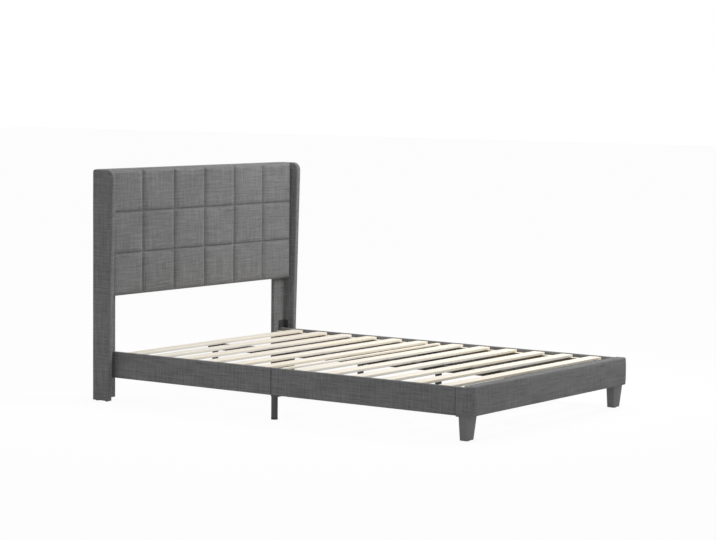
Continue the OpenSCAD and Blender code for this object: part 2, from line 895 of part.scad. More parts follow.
module foot_leg() {
    top = rail_z - leg_flange_t / 2;
    low_front = leg_back - leg_low_d;
    color(grey_plastic) difference() {
        union() {
            polyhedron(
                [
                    [leg_x - leg_low_w / 2, low_front, glide_h],
                    [leg_x + leg_low_w / 2, low_front, glide_h],
                    [leg_x + leg_low_w / 2, leg_back, glide_h],
                    [leg_x - leg_low_w / 2, leg_back, glide_h],
                    [leg_x - leg_top_w / 2, leg_front, top],
                    [leg_x + leg_top_w / 2, leg_front, top],
                    [leg_x + leg_top_w / 2, leg_back, top],
                    [leg_x - leg_top_w / 2, leg_back, top]
                ],
                [
                    [0, 1, 2, 3], [7, 6, 5, 4], [4, 5, 1, 0],
                    [5, 6, 2, 1], [6, 7, 3, 2], [7, 4, 0, 3]
                ]
            );
            block(
                [leg_x - leg_top_w / 2, leg_front, rail_z - leg_flange_t],
                [leg_x + leg_top_w / 2, leg_back + leg_flange_l, rail_z]
            );
        }
        at([studs[0]], [0, 0, 0]) stud_hole();
        at(leg_flange_screws, head_down) shank_hole(screw_d, screw_l);
        at([leg_glide], [0, 0, 0]) nail_hole();
    }
}

module left_foot_leg() { left_side() foot_leg(); }
module right_foot_leg() { foot_leg(); }

module foot_glides() {
    color(black_plastic) both_sides() at([leg_glide], [0, 0, 0]) glide(leg_glide_d);
}

module head_glides() {
    color(black_plastic) both_sides() at(wing_glides, [0, 0, 0]) glide(glide_d);
}

// Middle supports

module crossbar() {
    color(pine) block(
        [-slat_end, crossbar_y - crossbar_w / 2, slat_z],
        [slat_end, crossbar_y + crossbar_w / 2, slat_z + crossbar_t]
    );
}

module square_tube(s, wall, y0, y1) {
    difference() {
        block([-s / 2, y0, beam_low + (beam_s - s) / 2], [s / 2, y1, beam_low + (beam_s + s) / 2]);
        block(
            [-s / 2 + wall, y0 - cut, beam_low + (beam_s - s) / 2 + wall],
            [s / 2 - wall, y1 + cut, beam_low + (beam_s + s) / 2 - wall]
        );
        at(centre_screws, head_down) shank_hole(screw_d, centre_screw_l);
    }
}

module head_centre_beam() {
    color(black_steel) square_tube(beam_s, tube_wall, mid_leg_y + seam_gap / 2, beam_head_end);
}

module foot_centre_beam() {
    color(black_steel) square_tube(beam_s, tube_wall, beam_foot_end, mid_leg_y - seam_gap / 2);
}

module beam_joiner() {
    color(zinc) square_tube(
        beam_s - 2 * tube_wall - 2 * hole_play, tube_wall,
        mid_leg_y - joiner_l / 2, mid_leg_y + joiner_l / 2
    );
}

// Back plate on the foot rail with an open channel for the end of the beam
module beam_seat() {
    channel = beam_s / 2 + hole_play;
    seat_top = beam_low + beam_s * 2 / 3;
    color(black_steel) difference() {
        union() {
            translate([0, foot_in + steel_t, beam_low + beam_s / 2])
                rotate([90, 0, 0]) linear_extrude(steel_t) round_rect(beam_seat_w, beam_seat_h, plate_r);
            block(
                [-channel - steel_t, foot_in + steel_t / 2, beam_low - steel_t],
                [channel + steel_t, foot_in + steel_t + beam_seat_l, beam_low]
            );
            both_sides() block(
                [channel, foot_in + steel_t / 2, beam_low - steel_t],
                [channel + steel_t, foot_in + steel_t + beam_seat_l, seat_top]
            );
        }
        at(seat_bolts, head_to_back) shank_hole(bolt_d, bolt_l);
    }
}

module leg_tube(top) {
    translate([0, 0, tube_low]) difference() {
        cylinder(d = tube_d, h = top - tube_low);
        translate([0, 0, -cut]) cylinder(d = tube_d - 2 * tube_wall, h = top - tube_low + cut);
    }
}

module centre_legs() {
    color(black_steel) difference() {
        for (row = centre_rows) translate([0, mid_leg_y + row * centre_pitch, 0]) {
            leg_tube(centre_tube_top);
            translate([0, 0, centre_tube_top]) linear_extrude(centre_plate_t)
                round_rect(beam_s, centre_plate_l, plate_r);
        }
        at(centre_screws, head_down) shank_hole(screw_d, centre_screw_l);
    }
}

module mid_leg() {
    color(black_steel) difference() {
        union() {
            translate([mid_leg_x, mid_leg_y, 0]) leg_tube(mid_tube_top);
            translate([
                rail_x - cloth_t - mid_plate_w / 2,
                joint_y + cloth_t - mid_plate_l / 2,
                mid_tube_top
            ]) linear_extrude(mid_plate_t) round_rect(mid_plate_w, mid_plate_l, plate_r / 2);
        }
        at([studs[1]], [0, 0, 0]) stud_hole();
    }
}

module left_mid_leg() { left_side() mid_leg(); }
module right_mid_leg() { mid_leg(); }

// Threaded plug in the lower end of a tube leg
module plug() {
    translate([0, 0, foot_pad_h]) difference() {
        union() {
            cylinder(d = tube_d, h = plug_rim_h);
            cylinder(d = tube_d - 2 * tube_wall, h = plug_rim_h + plug_h);
        }
        translate([0, 0, -cut]) cylinder(d = bed_bolt_d + 2 * stem_play, h = plug_rim_h + plug_h + 2 * cut);
    }
}

module leg_plugs() {
    color(black_plastic) {
        for (row = centre_rows) translate([0, mid_leg_y + row * centre_pitch, 0]) plug();
        both_sides() translate([mid_leg_x, mid_leg_y, 0]) plug();
    }
}

// Level foot that screws into a plug, drawn fully screwed in
module level_foot() {
    color(black_plastic) {
        cylinder(d = foot_pad_d, h = foot_pad_h);
        cylinder(d = bed_bolt_d, h = foot_pad_h + stem_l);
    }
}

module centre_level_foot(index) {
    translate([0, mid_leg_y + centre_rows[index] * centre_pitch, 0]) level_foot();
}

module left_level_foot() { left_side() right_level_foot(); }
module right_level_foot() { translate([mid_leg_x, mid_leg_y, 0]) level_foot(); }
module centre_level_foot_1() { centre_level_foot(0); }
module centre_level_foot_2() { centre_level_foot(1); }
module centre_level_foot_3() { centre_level_foot(2); }
module centre_level_foot_4() { centre_level_foot(3); }

// Slats

module slat(y) {
    block([-slat_end, y - slat_w / 2, slat_z], [slat_end, y + slat_w / 2, slat_top]);
}

module slats_head() {
    color(pine) for (y = head_slats) slat(y);
}

module slats_foot() {
    color(pine) for (y = foot_slats) slat(y);
}

module grip(y, l) {
    edge = (ledge_w - slat_end_gap - grip_w) / 2;
    both_sides() block(
        [ledge_in + edge, y - l / 2, ledge_top],
        [ledge_in + edge + grip_w, y + l / 2, slat_z]
    );
}

module slat_grip_pads() {
    color(black_plastic) {
        for (y = concat(head_slats, foot_slats)) grip(y, slat_w * 0.8);
        grip(crossbar_y, crossbar_w * 0.8);
    }
}

// Fasteners

module bed_bolts() {
    color(zinc) both_sides() at(bed_bolts_at, head_to_back)
        fastener(bed_bolt_d, bed_bolt_l, bed_head_d, bed_head_h);
}

module barrel_nuts() {
    color(zinc) both_sides() difference() {
        for (place = bed_bolts_at)
            translate([rail_mid_x - barrel_l / 2, barrel_y, place[2]])
                rotate([0, 90, 0]) cylinder(d = barrel_d, h = barrel_l);
        at(bed_bolts_at, head_to_back) shank_hole(bed_bolt_d, bed_bolt_l);
    }
}

module bracket_bolts() {
    color(black_steel) {
        both_sides() {
            at(bracket_post_bolts, head_to_front) bracket_bolt();
            at(bracket_wing_bolts, head_inward) bracket_bolt();
            at(joint_bolts, head_inward) bracket_bolt();
        }
        at(seat_bolts, head_to_back) bracket_bolt();
    }
}

module wood_screws() {
    color(zinc) {
        both_sides() {
            at(cleat_wing_screws, head_inward) wood_screw();
            at(cleat_post_screws, head_to_back) translate([0, 0, -screw_head_h]) wood_screw();
            at(ledge_screws, head_inward) wood_screw();
            at(block_side_screws, head_inward) wood_screw();
            at(block_foot_screws, head_to_back) wood_screw();
            at(leg_flange_screws, head_down) wood_screw();
        }
        at(centre_screws, head_down) fastener(screw_d, centre_screw_l, screw_head_d, screw_head_h);
    }
}

module leg_studs() {
    color(zinc) both_sides() at(studs, [0, 0, 0]) stud();
}

headboard_pad();
headboard_board();
headboard_top_rail();
headboard_bottom_rail();
headboard_uprights();
wing_cleats();
headboard_back_cover();
left_post_board();
right_post_board();
left_post_cover();
right_post_cover();
left_wing_board();
right_wing_board();
left_wing_cover();
right_wing_cover();
left_corner_bracket();
right_corner_bracket();
left_rail_head_board();
left_rail_foot_board();
right_rail_head_board();
right_rail_foot_board();
left_rail_head_cover();
left_rail_foot_cover();
right_rail_head_cover();
right_rail_foot_cover();
slat_ledges();
left_joint_plate();
right_joint_plate();
foot_rail_board();
foot_return_boards();
foot_rail_foam();
foot_rail_cover();
foot_corner_blocks();
left_foot_leg();
right_foot_leg();
foot_glides();
head_glides();
crossbar();
head_centre_beam();
foot_centre_beam();
beam_joiner();
beam_seat();
centre_legs();
left_mid_leg();
right_mid_leg();
leg_plugs();
left_level_foot();
right_level_foot();
centre_level_foot_1();
centre_level_foot_2();
centre_level_foot_3();
centre_level_foot_4();
slats_head();
slats_foot();
slat_grip_pads();
bed_bolts();
barrel_nuts();
bracket_bolts();
wood_screws();
leg_studs();
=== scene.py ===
"""Looks of an upholstered bed frame with a tufted wing headboard and a slatted base.

Metres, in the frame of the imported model: X across the bed, Y towards the headboard, Z up.
"""

import math

import bmesh
import bpy
import numpy as np
from bpy.props import FloatProperty, FloatVectorProperty, PointerProperty
from mathutils import Matrix, Vector


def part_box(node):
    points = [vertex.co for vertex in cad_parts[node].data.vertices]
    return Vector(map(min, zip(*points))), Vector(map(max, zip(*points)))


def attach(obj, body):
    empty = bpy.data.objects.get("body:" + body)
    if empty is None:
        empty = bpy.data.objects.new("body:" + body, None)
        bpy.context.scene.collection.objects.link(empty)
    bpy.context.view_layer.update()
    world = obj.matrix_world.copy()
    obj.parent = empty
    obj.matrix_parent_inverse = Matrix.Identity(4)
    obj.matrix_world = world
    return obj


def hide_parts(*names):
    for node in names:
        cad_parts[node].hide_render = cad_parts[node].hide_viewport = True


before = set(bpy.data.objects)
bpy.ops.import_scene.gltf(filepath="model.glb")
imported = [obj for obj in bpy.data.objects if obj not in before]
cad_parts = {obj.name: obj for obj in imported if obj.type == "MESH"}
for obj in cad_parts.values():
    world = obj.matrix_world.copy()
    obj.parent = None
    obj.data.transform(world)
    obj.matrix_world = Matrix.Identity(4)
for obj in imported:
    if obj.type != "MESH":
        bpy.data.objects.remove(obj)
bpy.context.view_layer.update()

bl_info = {
    "name": "Upholstered bed frame",
    "version": (1, 0, 0),
    "blender": (4, 5, 0),
    "location": "View3D > Sidebar > Bed",
    "description": "Builds the upholstery, slats, legs and finishes of a wing bed around its frame",
    "category": "Add Mesh",
}

BODY = "frame"
SIDES = {"left": -1, "right": 1}

PAD_LOW, PAD_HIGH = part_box("headboard_pad")
BACK_LOW, BACK_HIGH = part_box("headboard_back_cover")
WING_LOW, WING_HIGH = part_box("right_wing_cover")
POST_LOW, POST_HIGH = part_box("right_post_cover")
RAIL_LOW, RAIL_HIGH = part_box("right_rail_head_cover")
FOOT_LOW, FOOT_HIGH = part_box("foot_rail_cover")
LEG_LOW, LEG_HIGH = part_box("right_foot_leg")
# Height of the ledge tops: below it the ledges carry painted shade, a dark colour that stands in for the
# shade under the slats
SHADE_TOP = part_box("slat_ledges")[1].z - 0.0002
LONG_STEP = 10.0
MAP_START = 3.0


def colour(name, default, text):
    """Colour property with a colour picker."""
    return FloatVectorProperty(name=name, description=text, default=default,
                               subtype="COLOR", size=3, min=0, max=1)


def length(name, default, text):
    """Length property in metres."""
    return FloatProperty(name=name, description=text, default=default, unit="LENGTH", precision=4)


class UpholsterySettings(bpy.types.PropertyGroup):
    cloth_colour: colour("Cloth", (0.155, 0.155, 0.157), "Colour of the woven cloth")
    pad_edge: length("Pad edge", 0.006, "Rounding of the edges of the pad")
    tile_crown: length("Tile crown", 0.0142, "Height of a tile above its seams")
    tile_roll: length("Tile roll", 0.027, "Distance over which a tile rises from an upright seam")
    tile_lip: length("Tile lip", 0.015, "Distance over which a tile rises from a level seam")
    seam_pinch: FloatProperty(name="Seam pinch", default=0.16, min=0, max=1, subtype="FACTOR",
                              description="Share of the rise that the stitching pulls into a crease")
    tile_swell: length("Tile swell", 0.0010, "Most that the filling swells a tile")
    wing_foot_depth: length("Wing depth at the floor", 0.096, "Depth of a wing at the floor")
    wing_corner: length("Wing corner", 0.037, "Radius of the top front corner of a wing")
    wing_edge: length("Wing edge", 0.006, "Rounding of the padded edges of a wing")
    rail_edge: length("Rail edge", 0.0040, "Rounding of the edges of a side rail")
    rail_end: length("Rail end", 0.0009, "Room between the cloth of a rail and the end of its cover")
    foot_corner: length("Foot corner", 0.030, "Radius of the corners of the foot rail")
    foot_thickness: length("Foot thickness", 0.050, "Thickness of the padded foot rail")
    foot_roll: length("Foot roll", 0.009, "Rounding of the top edge of the foot rail")
    foot_hem: length("Foot hem", 0.005, "Rounding of the bottom edge of the foot rail")


class WoodSettings(bpy.types.PropertyGroup):
    slat_colour: colour("Slat", (0.90, 0.85, 0.76), "Colour of the pale slats")
    # The ledge colour is painted shade: the sides of the ledges are darkened to stand in for the shade
    # they lie in under the slats
    ledge_shade_colour: colour("Ledge", (0.13, 0.105, 0.08), "Painted shade on the sides of the slat ledges")
    timber_colour: colour("Timber", (0.62, 0.49, 0.34), "Colour of the hidden timbers")
    ply_colour: colour("Plywood", (0.50, 0.38, 0.25), "Colour of the hidden boards")
    slat_ease: length("Slat ease", 0.0016, "Rounding of the edges of a slat")


class HardwareSettings(bpy.types.PropertyGroup):
    steel_colour: colour("Steel", (0.060, 0.060, 0.062), "Colour of the powder coated steel")
    tube_colour: colour("Tube leg", (0.088, 0.088, 0.090), "Colour of the steel tube legs")
    leg_colour: colour("Foot leg", (0.155, 0.155, 0.157), "Colour of the moulded foot legs")
    leg_low_width: length("Leg width", 0.057, "Width of a foot leg at the floor")
    leg_low_depth: length("Leg depth", 0.033, "Depth of a foot leg at the floor")
    leg_top_depth: length("Leg top depth", 0.040, "Depth of a foot leg under the rail")
    leg_flange: length("Leg flange", 0.004, "Thickness of the flange behind a foot leg")
    plastic_colour: colour("Plastic", (0.030, 0.030, 0.032), "Colour of the feet and glides")
    zinc_colour: colour("Zinc", (0.62, 0.62, 0.60), "Colour of the bright fasteners")


class StageSettings(bpy.types.PropertyGroup):
    lens: FloatProperty(name="Lens", description="Focal length on a 36 mm sensor", default=114.26,
                        unit="CAMERA")
    camera_place: FloatVectorProperty(name="Camera", description="Place of the camera", size=3,
                                      default=(-8.4805, -5.9937, 1.4894), subtype="TRANSLATION")
    yaw: FloatProperty(name="Yaw", description="Turn of the view from +Y towards +X",
                       default=math.radians(54.61), subtype="ANGLE")
    pitch: FloatProperty(name="Pitch", description="Tilt of the view above the horizon",
                         default=math.radians(-4.81), subtype="ANGLE")
    roll: FloatProperty(name="Roll", description="Turn of the picture about the view",
                        default=math.radians(0.57), subtype="ANGLE")
    key_power: FloatProperty(name="Key", description="Power of the lamp over the foot end in watts",
                             default=30.0)
    top_power: FloatProperty(name="Top", description="Power of the top lamp in watts", default=23.0)
    fill: FloatProperty(name="Fill", description="Strength of the light from all round", default=0.655)


# Shader drawing

class Wire:
    """A number or a colour on its way through a material; sums and products add Math nodes."""

    def __init__(self, finish, socket):
        self.finish = finish
        self.socket = socket

    def maths(self, operation, *terms):
        node = self.finish.node("ShaderNodeMath", {"operation": operation}, dict(enumerate(terms)))
        return self.finish.wire(node)

    def __add__(self, other):
        return self.maths("ADD", self, other)

    def __sub__(self, other):
        return self.maths("SUBTRACT", self, other)

    def __mul__(self, other):
        return self.maths("MULTIPLY", self, other)

    def sine(self):
        return self.maths("SINE", self)

    def step(self, low, high):
        """Smooth step from 0 at low to 1 at high."""
        node = self.finish.node(
            "ShaderNodeMapRange", {"interpolation_type": "SMOOTHSTEP"},
            {"Value": self, "From Min": low, "From Max": high})
        return self.finish.wire(node)


class Finish:
    """A material that is drawn node by node and ends in one Principled shader."""

    def __init__(self, name, **constants):
        self.material = bpy.data.materials.new(name)
        self.material.use_nodes = True
        self.tree = self.material.node_tree
        self.tree.nodes.clear()
        self.shader = self.node("ShaderNodeBsdfPrincipled", {}, constants)
        self.node("ShaderNodeOutputMaterial", {}, {"Surface": self.wire(self.shader)})

    def node(self, kind, settings, inputs):
        """Adds a node: its settings first, then the values or links of its sockets."""
        node = self.tree.nodes.new(kind)
        for key, value in settings.items():
            setattr(node, key, value)
        for key, value in inputs.items():
            if isinstance(value, Wire):
                self.tree.links.new(value.socket, node.inputs[key])
            else:
                node.inputs[key].default_value = value
        return node

    def wire(self, node, output=0):
        return Wire(self, node.outputs[output])

    def object_place(self):
        return self.wire(self.node("ShaderNodeTexCoord", {}, {}), "Object")

    def cloth_place(self):
        return self.wire(self.node("ShaderNodeUVMap", {"uv_map": "cloth"}, {}))

    def noise(self, place, scale, shift=(0, 0, 0), detail=2.0, rough=0.5):
        """Noise with so many cells per metre along each axis of the place."""
        scaled = self.node("ShaderNodeMapping", {},
                           {"Vector": place, "Scale": scale, "Location": shift})
        return self.wire(self.node(
            "ShaderNodeTexNoise", {},
            {"Vector": self.wire(scaled), "Scale": 1.0, "Detail": detail, "Roughness": rough}))

    def mix(self, share, first, second):
        node = self.node("ShaderNodeMix", {"data_type": "RGBA"}, {0: share, 6: first, 7: second})
        return self.wire(node, 2)

    def tinted(self, tint, tone):
        """The tint made darker or lighter by the tone."""
        start = tint if isinstance(tint, Wire) else tuple(tint)[:3]
        return self.wire(self.node("ShaderNodeVectorMath", {"operation": "SCALE"},
                                   {0: start, "Scale": tone}))

    def relief(self, height, depth, strength):
        bump = self.node("ShaderNodeBump", {},
                         {"Height": height, "Distance": depth, "Strength": strength})
        self.tree.links.new(bump.outputs[0], self.shader.inputs["Normal"])

    def feed(self, **links):
        for key, value in links.items():
            self.tree.links.new(value.socket, self.shader.inputs[key.replace("_", " ")])


def rgba(rgb):
    return (*rgb, 1.0)


def woven_cloth(name, rgb):
    """Linen-like cloth on the cloth map, in metres.

    Tone = 1 + fine and broad streaks along u and v + thick slubs - thin places + a slow cloudiness
    + a plain weave of 0.8 mm threads. The fine streaks, the slubs and the weave raise the relief.
    """
    cloth = Finish(name, **{"Sheen Weight": 0.18, "Sheen Roughness": 0.6, "Specular IOR Level": 0.25})
    place = cloth.cloth_place()
    weft = cloth.noise(place, (26, 420, 1), detail=3.0, rough=0.6)
    warp = cloth.noise(place, (430, 24, 1), (7.3, 2.1, 0), 3.0, 0.6)
    weft_band = cloth.noise(place, (6, 125, 1), (2.3, 8.1, 0), 2.0, 0.6)
    warp_band = cloth.noise(place, (120, 6.5, 1), (6.2, 3.3, 0), 2.0, 0.6)
    slub = cloth.noise(place, (9, 150, 1), (3.7, 9.2, 0))
    cross_slub = cloth.noise(place, (160, 11, 1), (5.1, 6.6, 0))
    cloud = cloth.noise(place, (3.1, 6.3, 1), (1.9, 4.4, 0), 3.0, 0.55)
    apart = cloth.node("ShaderNodeSeparateXYZ", {}, {0: place})
    thread = 0.0008
    across, upward = (cloth.wire(apart, axis) * (math.pi / thread) for axis in (0, 1))
    weave = across.sine() * upward.sine()
    thick = slub.step(0.56, 0.72) * 0.20 + cross_slub.step(0.58, 0.74) * 0.13
    thin = slub.step(0.44, 0.30) * 0.16
    streaks = (weft - 0.5) * 0.75 + (warp - 0.5) * 0.60
    bands = (weft_band - 0.5) * 0.90 + (warp_band - 0.5) * 0.85
    tone = streaks + bands + (cloud - 0.5) * 0.30 + weave * 0.05 + thick - thin + 1.0
    cloth.feed(Base_Color=cloth.tinted(rgba(rgb), tone), Roughness=weft * 0.16 + 0.80)
    cloth.relief(weft * 0.5 + warp * 0.4 + weave * 0.35 + thick, 0.0006, 0.8)
    return cloth.material


def sawn_wood(name, rgb, along, contrast=1.0, painted_shade=None, bare=0.0):
    """Planed timber with its grain along one axis.

    Long noise gives the growth bands, fine noise gives the fibres and short dark dashes give pores.
    With painted shade the timber has that colour below the height from which it is left bare: a dark
    colour that stands in for the shade on the sides of a board under the slats.
    """
    wood = Finish(name, **{"Specular IOR Level": 0.35})
    place = wood.object_place()

    def stretched(far, near, shift, detail, rough=0.5):
        scale = [near, near, near]
        scale[along] = far
        return wood.noise(place, scale, shift, detail, rough)

    bands = stretched(1.1, 55, (2.0, 4.0, 6.0), 3.0, 0.55)
    fibres = stretched(9, 620, (5.0, 1.0, 3.0), 3.0, 0.6)
    pores = stretched(30, 900, (8.0, 3.0, 1.0), 1.0).step(0.66, 0.76)
    grain = (bands - 0.5) * (0.30 * contrast) + (fibres - 0.5) * (0.22 * contrast)
    tone = grain - pores * (0.12 * contrast) + 1.0
    late = (rgb[0] * 0.97, rgb[1] * 0.93, rgb[2] * 0.85)
    warm = wood.mix(bands.step(0.42, 0.62), rgba(rgb), rgba(late))
    # Painted shade: below the bare height the wood takes the dark shade colour in place of its own
    if painted_shade:
        apart = wood.node("ShaderNodeSeparateXYZ", {}, {0: place})
        border = 0.0010
        warm = wood.mix(wood.wire(apart, 2).step(bare - border, bare), rgba(painted_shade), warm)
    wood.feed(Base_Color=wood.tinted(warm, tone), Roughness=fibres * 0.2 + 0.55)
    wood.relief(fibres - pores, 0.0003, 0.5)
    return wood.material


def layered_ply(name, rgb, up):
    """Plywood: veneers of about 1.5 mm, seen as bands across the up axis, with fine fibres."""
    ply = Finish(name, **{"Specular IOR Level": 0.3})
    place = ply.object_place()
    fibres = ply.noise(place, (8, 300, 300), (1.5, 2.5, 3.5), 3.0, 0.6)
    scale = [0.2, 0.2, 0.2]
    scale[up] = 640
    layers = ply.noise(place, scale, (4.0, 5.0, 6.0), 0.0)
    tone = (fibres - 0.5) * 0.35 + (layers - 0.5) * 0.5 + 1.0
    ply.feed(Base_Color=ply.tinted(rgba(rgb), tone), Roughness=fibres * 0.2 + 0.62)
    ply.relief(fibres, 0.0003, 0.5)
    return ply.material


def powder_coat(name, rgb):
    """Baked powder on steel: orange-peel relief and a faint change of tone and gloss."""
    coat = Finish(name, **{"Specular IOR Level": 0.22})
    place = coat.object_place()
    peel = coat.noise(place, (1100, 1100, 1100))
    rubbed = coat.noise(place, (22, 22, 22), (3.0, 1.0, 2.0), 3.0, 0.6)
    coat.feed(Base_Color=coat.tinted(rgba(rgb), rubbed * 0.5 + peel * 0.2 + 0.65),
              Roughness=rubbed * 0.18 + 0.46)
    coat.relief(peel, 0.00025, 0.6)
    return coat.material


def moulded_plastic(name, rgb, rough):
    """Moulded plastic with a fine spark-eroded grain, and flow marks in its tone and gloss."""
    shell = Finish(name, **{"Specular IOR Level": 0.45})
    place = shell.object_place()
    texture = shell.noise(place, (1700, 1700, 1700), detail=1.0)
    flow = shell.noise(place, (35, 35, 12), (2.0, 7.0, 1.0), 3.0, 0.6)
    shell.feed(Base_Color=shell.tinted(rgba(rgb), flow * 0.3 + texture * 0.25 + 0.73),
               Roughness=flow * 0.2 + rough)
    shell.relief(texture, 0.0002, 0.6)
    return shell.material


def plated_metal(name, rgb):
    """Zinc plate: drawn lines, cloudy passivation and a metal shine."""
    metal = Finish(name, Metallic=1.0)
    place = metal.object_place()
    cloud = metal.noise(place, (160, 160, 160), detail=3.0, rough=0.6)
    lines = metal.noise(place, (1500, 1500, 120), (1.0, 2.0, 3.0))
    metal.feed(Base_Color=metal.tinted(rgba(rgb), cloud * 0.4 + 0.8),
               Roughness=lines * 0.2 + cloud * 0.2 + 0.18)
    metal.relief(lines, 0.0001, 0.4)
    return metal.material


def hook_cloth(name, rgb):
    """Hook and loop tape: a tight nap of short loops in close rows."""
    tape = Finish(name, **{"Sheen Weight": 0.3, "Specular IOR Level": 0.2})
    place = tape.object_place()
    loops = tape.noise(place, (1500, 1500, 1500), rough=0.7)
    tape.feed(Base_Color=tape.tinted(rgba(rgb), loops * 1.2 + 0.4), Roughness=loops * 0.1 + 0.85)
    tape.relief(loops, 0.0008, 1.0)
    return tape.material


FINISHES = {}


def finish(key):
    """The material of that key, drawn when it is first asked for."""
    if key not in FINISHES:
        scene = bpy.context.scene
        soft, wood, hard = scene.bed_upholstery, scene.bed_wood, scene.bed_hardware
        FINISHES[key] = {
            "cloth": lambda: woven_cloth("grey_linen_cloth", soft.cloth_colour),
            "slat": lambda: sawn_wood("pale_slat_wood", wood.slat_colour, 0, contrast=0.5),
            "timber_x": lambda: sawn_wood("timber_across", wood.timber_colour, 0),
            "timber_y": lambda: sawn_wood("timber_along", wood.timber_colour, 1),
            "timber_z": lambda: sawn_wood("timber_upright", wood.timber_colour, 2),
            # Ledges: pale wood on top, painted shade on their sides
            "ledge": lambda: sawn_wood("ledge_wood", wood.slat_colour, 1, contrast=0.5,
                                       painted_shade=wood.ledge_shade_colour, bare=SHADE_TOP),
            "ply_x": lambda: layered_ply("plywood_side", wood.ply_colour, 0),
            "ply_y": lambda: layered_ply("plywood_front", wood.ply_colour, 1),
            "steel": lambda: powder_coat("black_powder_coat", hard.steel_colour),
            "tube": lambda: powder_coat("grey_powder_coat", hard.tube_colour),
            "leg": lambda: moulded_plastic("grey_leg_plastic", hard.leg_colour, rough=0.48),
            "plastic": lambda: moulded_plastic("black_foot_plastic", hard.plastic_colour, rough=0.4),
            "zinc": lambda: plated_metal("zinc_plate", hard.zinc_colour),
            "tape": lambda: hook_cloth("hook_and_loop_tape", hard.plastic_colour),
        }[key]()
    return FINISHES[key]


# Surfaces

def ring_quads(rings, count):
    """Quads between rings of the same count of points; each ring closes on itself."""
    start = np.arange(rings - 1)[:, None] * count
    here = np.arange(count)[None, :]
    ahead = (here + 1) % count
    return np.stack([start + here, start + ahead, start + ahead + count, start + here + count],
                    -1).reshape(-1, 4)


def volume(points, quads):
    """Six times the signed volume of a closed shell: the sum of its faces' corner products."""
    a, b, c, d = (points[quads[:, k]] for k in range(4))
    return float((a * (np.cross(b, c) + np.cross(c, d))).sum())


def outward(points, quads):
    """The shell with its faces turned outwards."""
    return (points, quads if volume(points, quads) > 0 else quads[:, ::-1])


def ripple(points, wave, seed):
    """Slow unevenness from -1 to 1: the mean of six sines along seeded directions."""
    draw = np.random.default_rng(seed)
    ways = draw.normal(size=(6, 3))
    ways *= (math.tau / wave) / np.linalg.norm(ways, axis=1, keepdims=True)
    ways *= draw.uniform(0.6, 1.6, (6, 1))
    return np.sin(points @ ways.T + draw.uniform(0, math.tau, 6)).mean(1)


def lay_cloth(mesh):
    """Writes the cloth map: each face's corners keep the two coordinates across its main normal,
    with a start added that makes them positive."""
    count = len(mesh.loops)
    places = np.zeros(len(mesh.vertices) * 3, np.float32)
    mesh.vertices.foreach_get("co", places)
    places = places.reshape(-1, 3)
    corners = np.zeros(count, np.int32)
    mesh.loops.foreach_get("vertex_index", corners)
    totals = np.zeros(len(mesh.polygons), np.int32)
    mesh.polygons.foreach_get("loop_total", totals)
    normals = np.zeros(len(mesh.polygons) * 3, np.float32)
    mesh.polygons.foreach_get("normal", normals)
    main = np.abs(normals.reshape(-1, 3)).argmax(1)
    across = np.array([1, 0, 0])[main]
    upward = np.array([2, 2, 1])[main]
    face = np.repeat(np.arange(len(totals)), totals)
    at = places[corners]
    flat = np.stack([at[np.arange(count), across[face]], at[np.arange(count), upward[face]]], 1)
    layer = mesh.uv_layers.new(name="cloth")
    layer.data.foreach_set("uv", (flat + MAP_START).astype(np.float32).ravel())


def build_mesh(name, shells, crease):
    """A mesh of closed shells, smooth except where faces meet at more than the crease angle."""
    points, faces, start = [], [], 0
    for shell_points, quads in shells:
        shell_points, quads = outward(np.asarray(shell_points, float), np.asarray(quads))
        points.append(shell_points)
        faces.append(quads + start)
        start += len(shell_points)
    mesh = bpy.data.meshes.new(name)
    mesh.from_pydata(np.concatenate(points).tolist(), [], np.concatenate(faces).tolist())
    tidy_mesh(mesh, crease)
    return mesh


def tidy_mesh(mesh, crease):
    """Merges points that coincide, drops faces that closed up, and shades the rest smooth."""
    work = bmesh.new()
    work.from_mesh(mesh)
    bmesh.ops.remove_doubles(work, verts=work.verts, dist=2e-6)
    bmesh.ops.dissolve_degenerate(work, edges=work.edges, dist=1e-7)
    work.to_mesh(mesh)
    work.free()
    mesh.shade_smooth()
    mesh.set_sharp_from_angle(angle=math.radians(crease))
    mesh.update()


def add_piece(name, mesh, key, nodes, body=BODY):
    """Puts a finished mesh in the scene as a piece that stands for the named CAD nodes."""
    piece = bpy.data.objects.new(name, mesh)
    bpy.context.scene.collection.objects.link(piece)
    lay_cloth(mesh)
    mesh.materials.append(finish(key))
    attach(piece, body)
    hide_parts(*nodes)
    return piece


def add_cover(name, points, quads, *nodes, crease=70):
    """Adds one shell as the cloth of the named part, for its CAD cover and any further nodes."""
    mesh = build_mesh(name + "_cloth", [(points, quads)], crease)
    return add_piece(name + "_cloth", mesh, "cloth", [name + "_cover", *nodes])


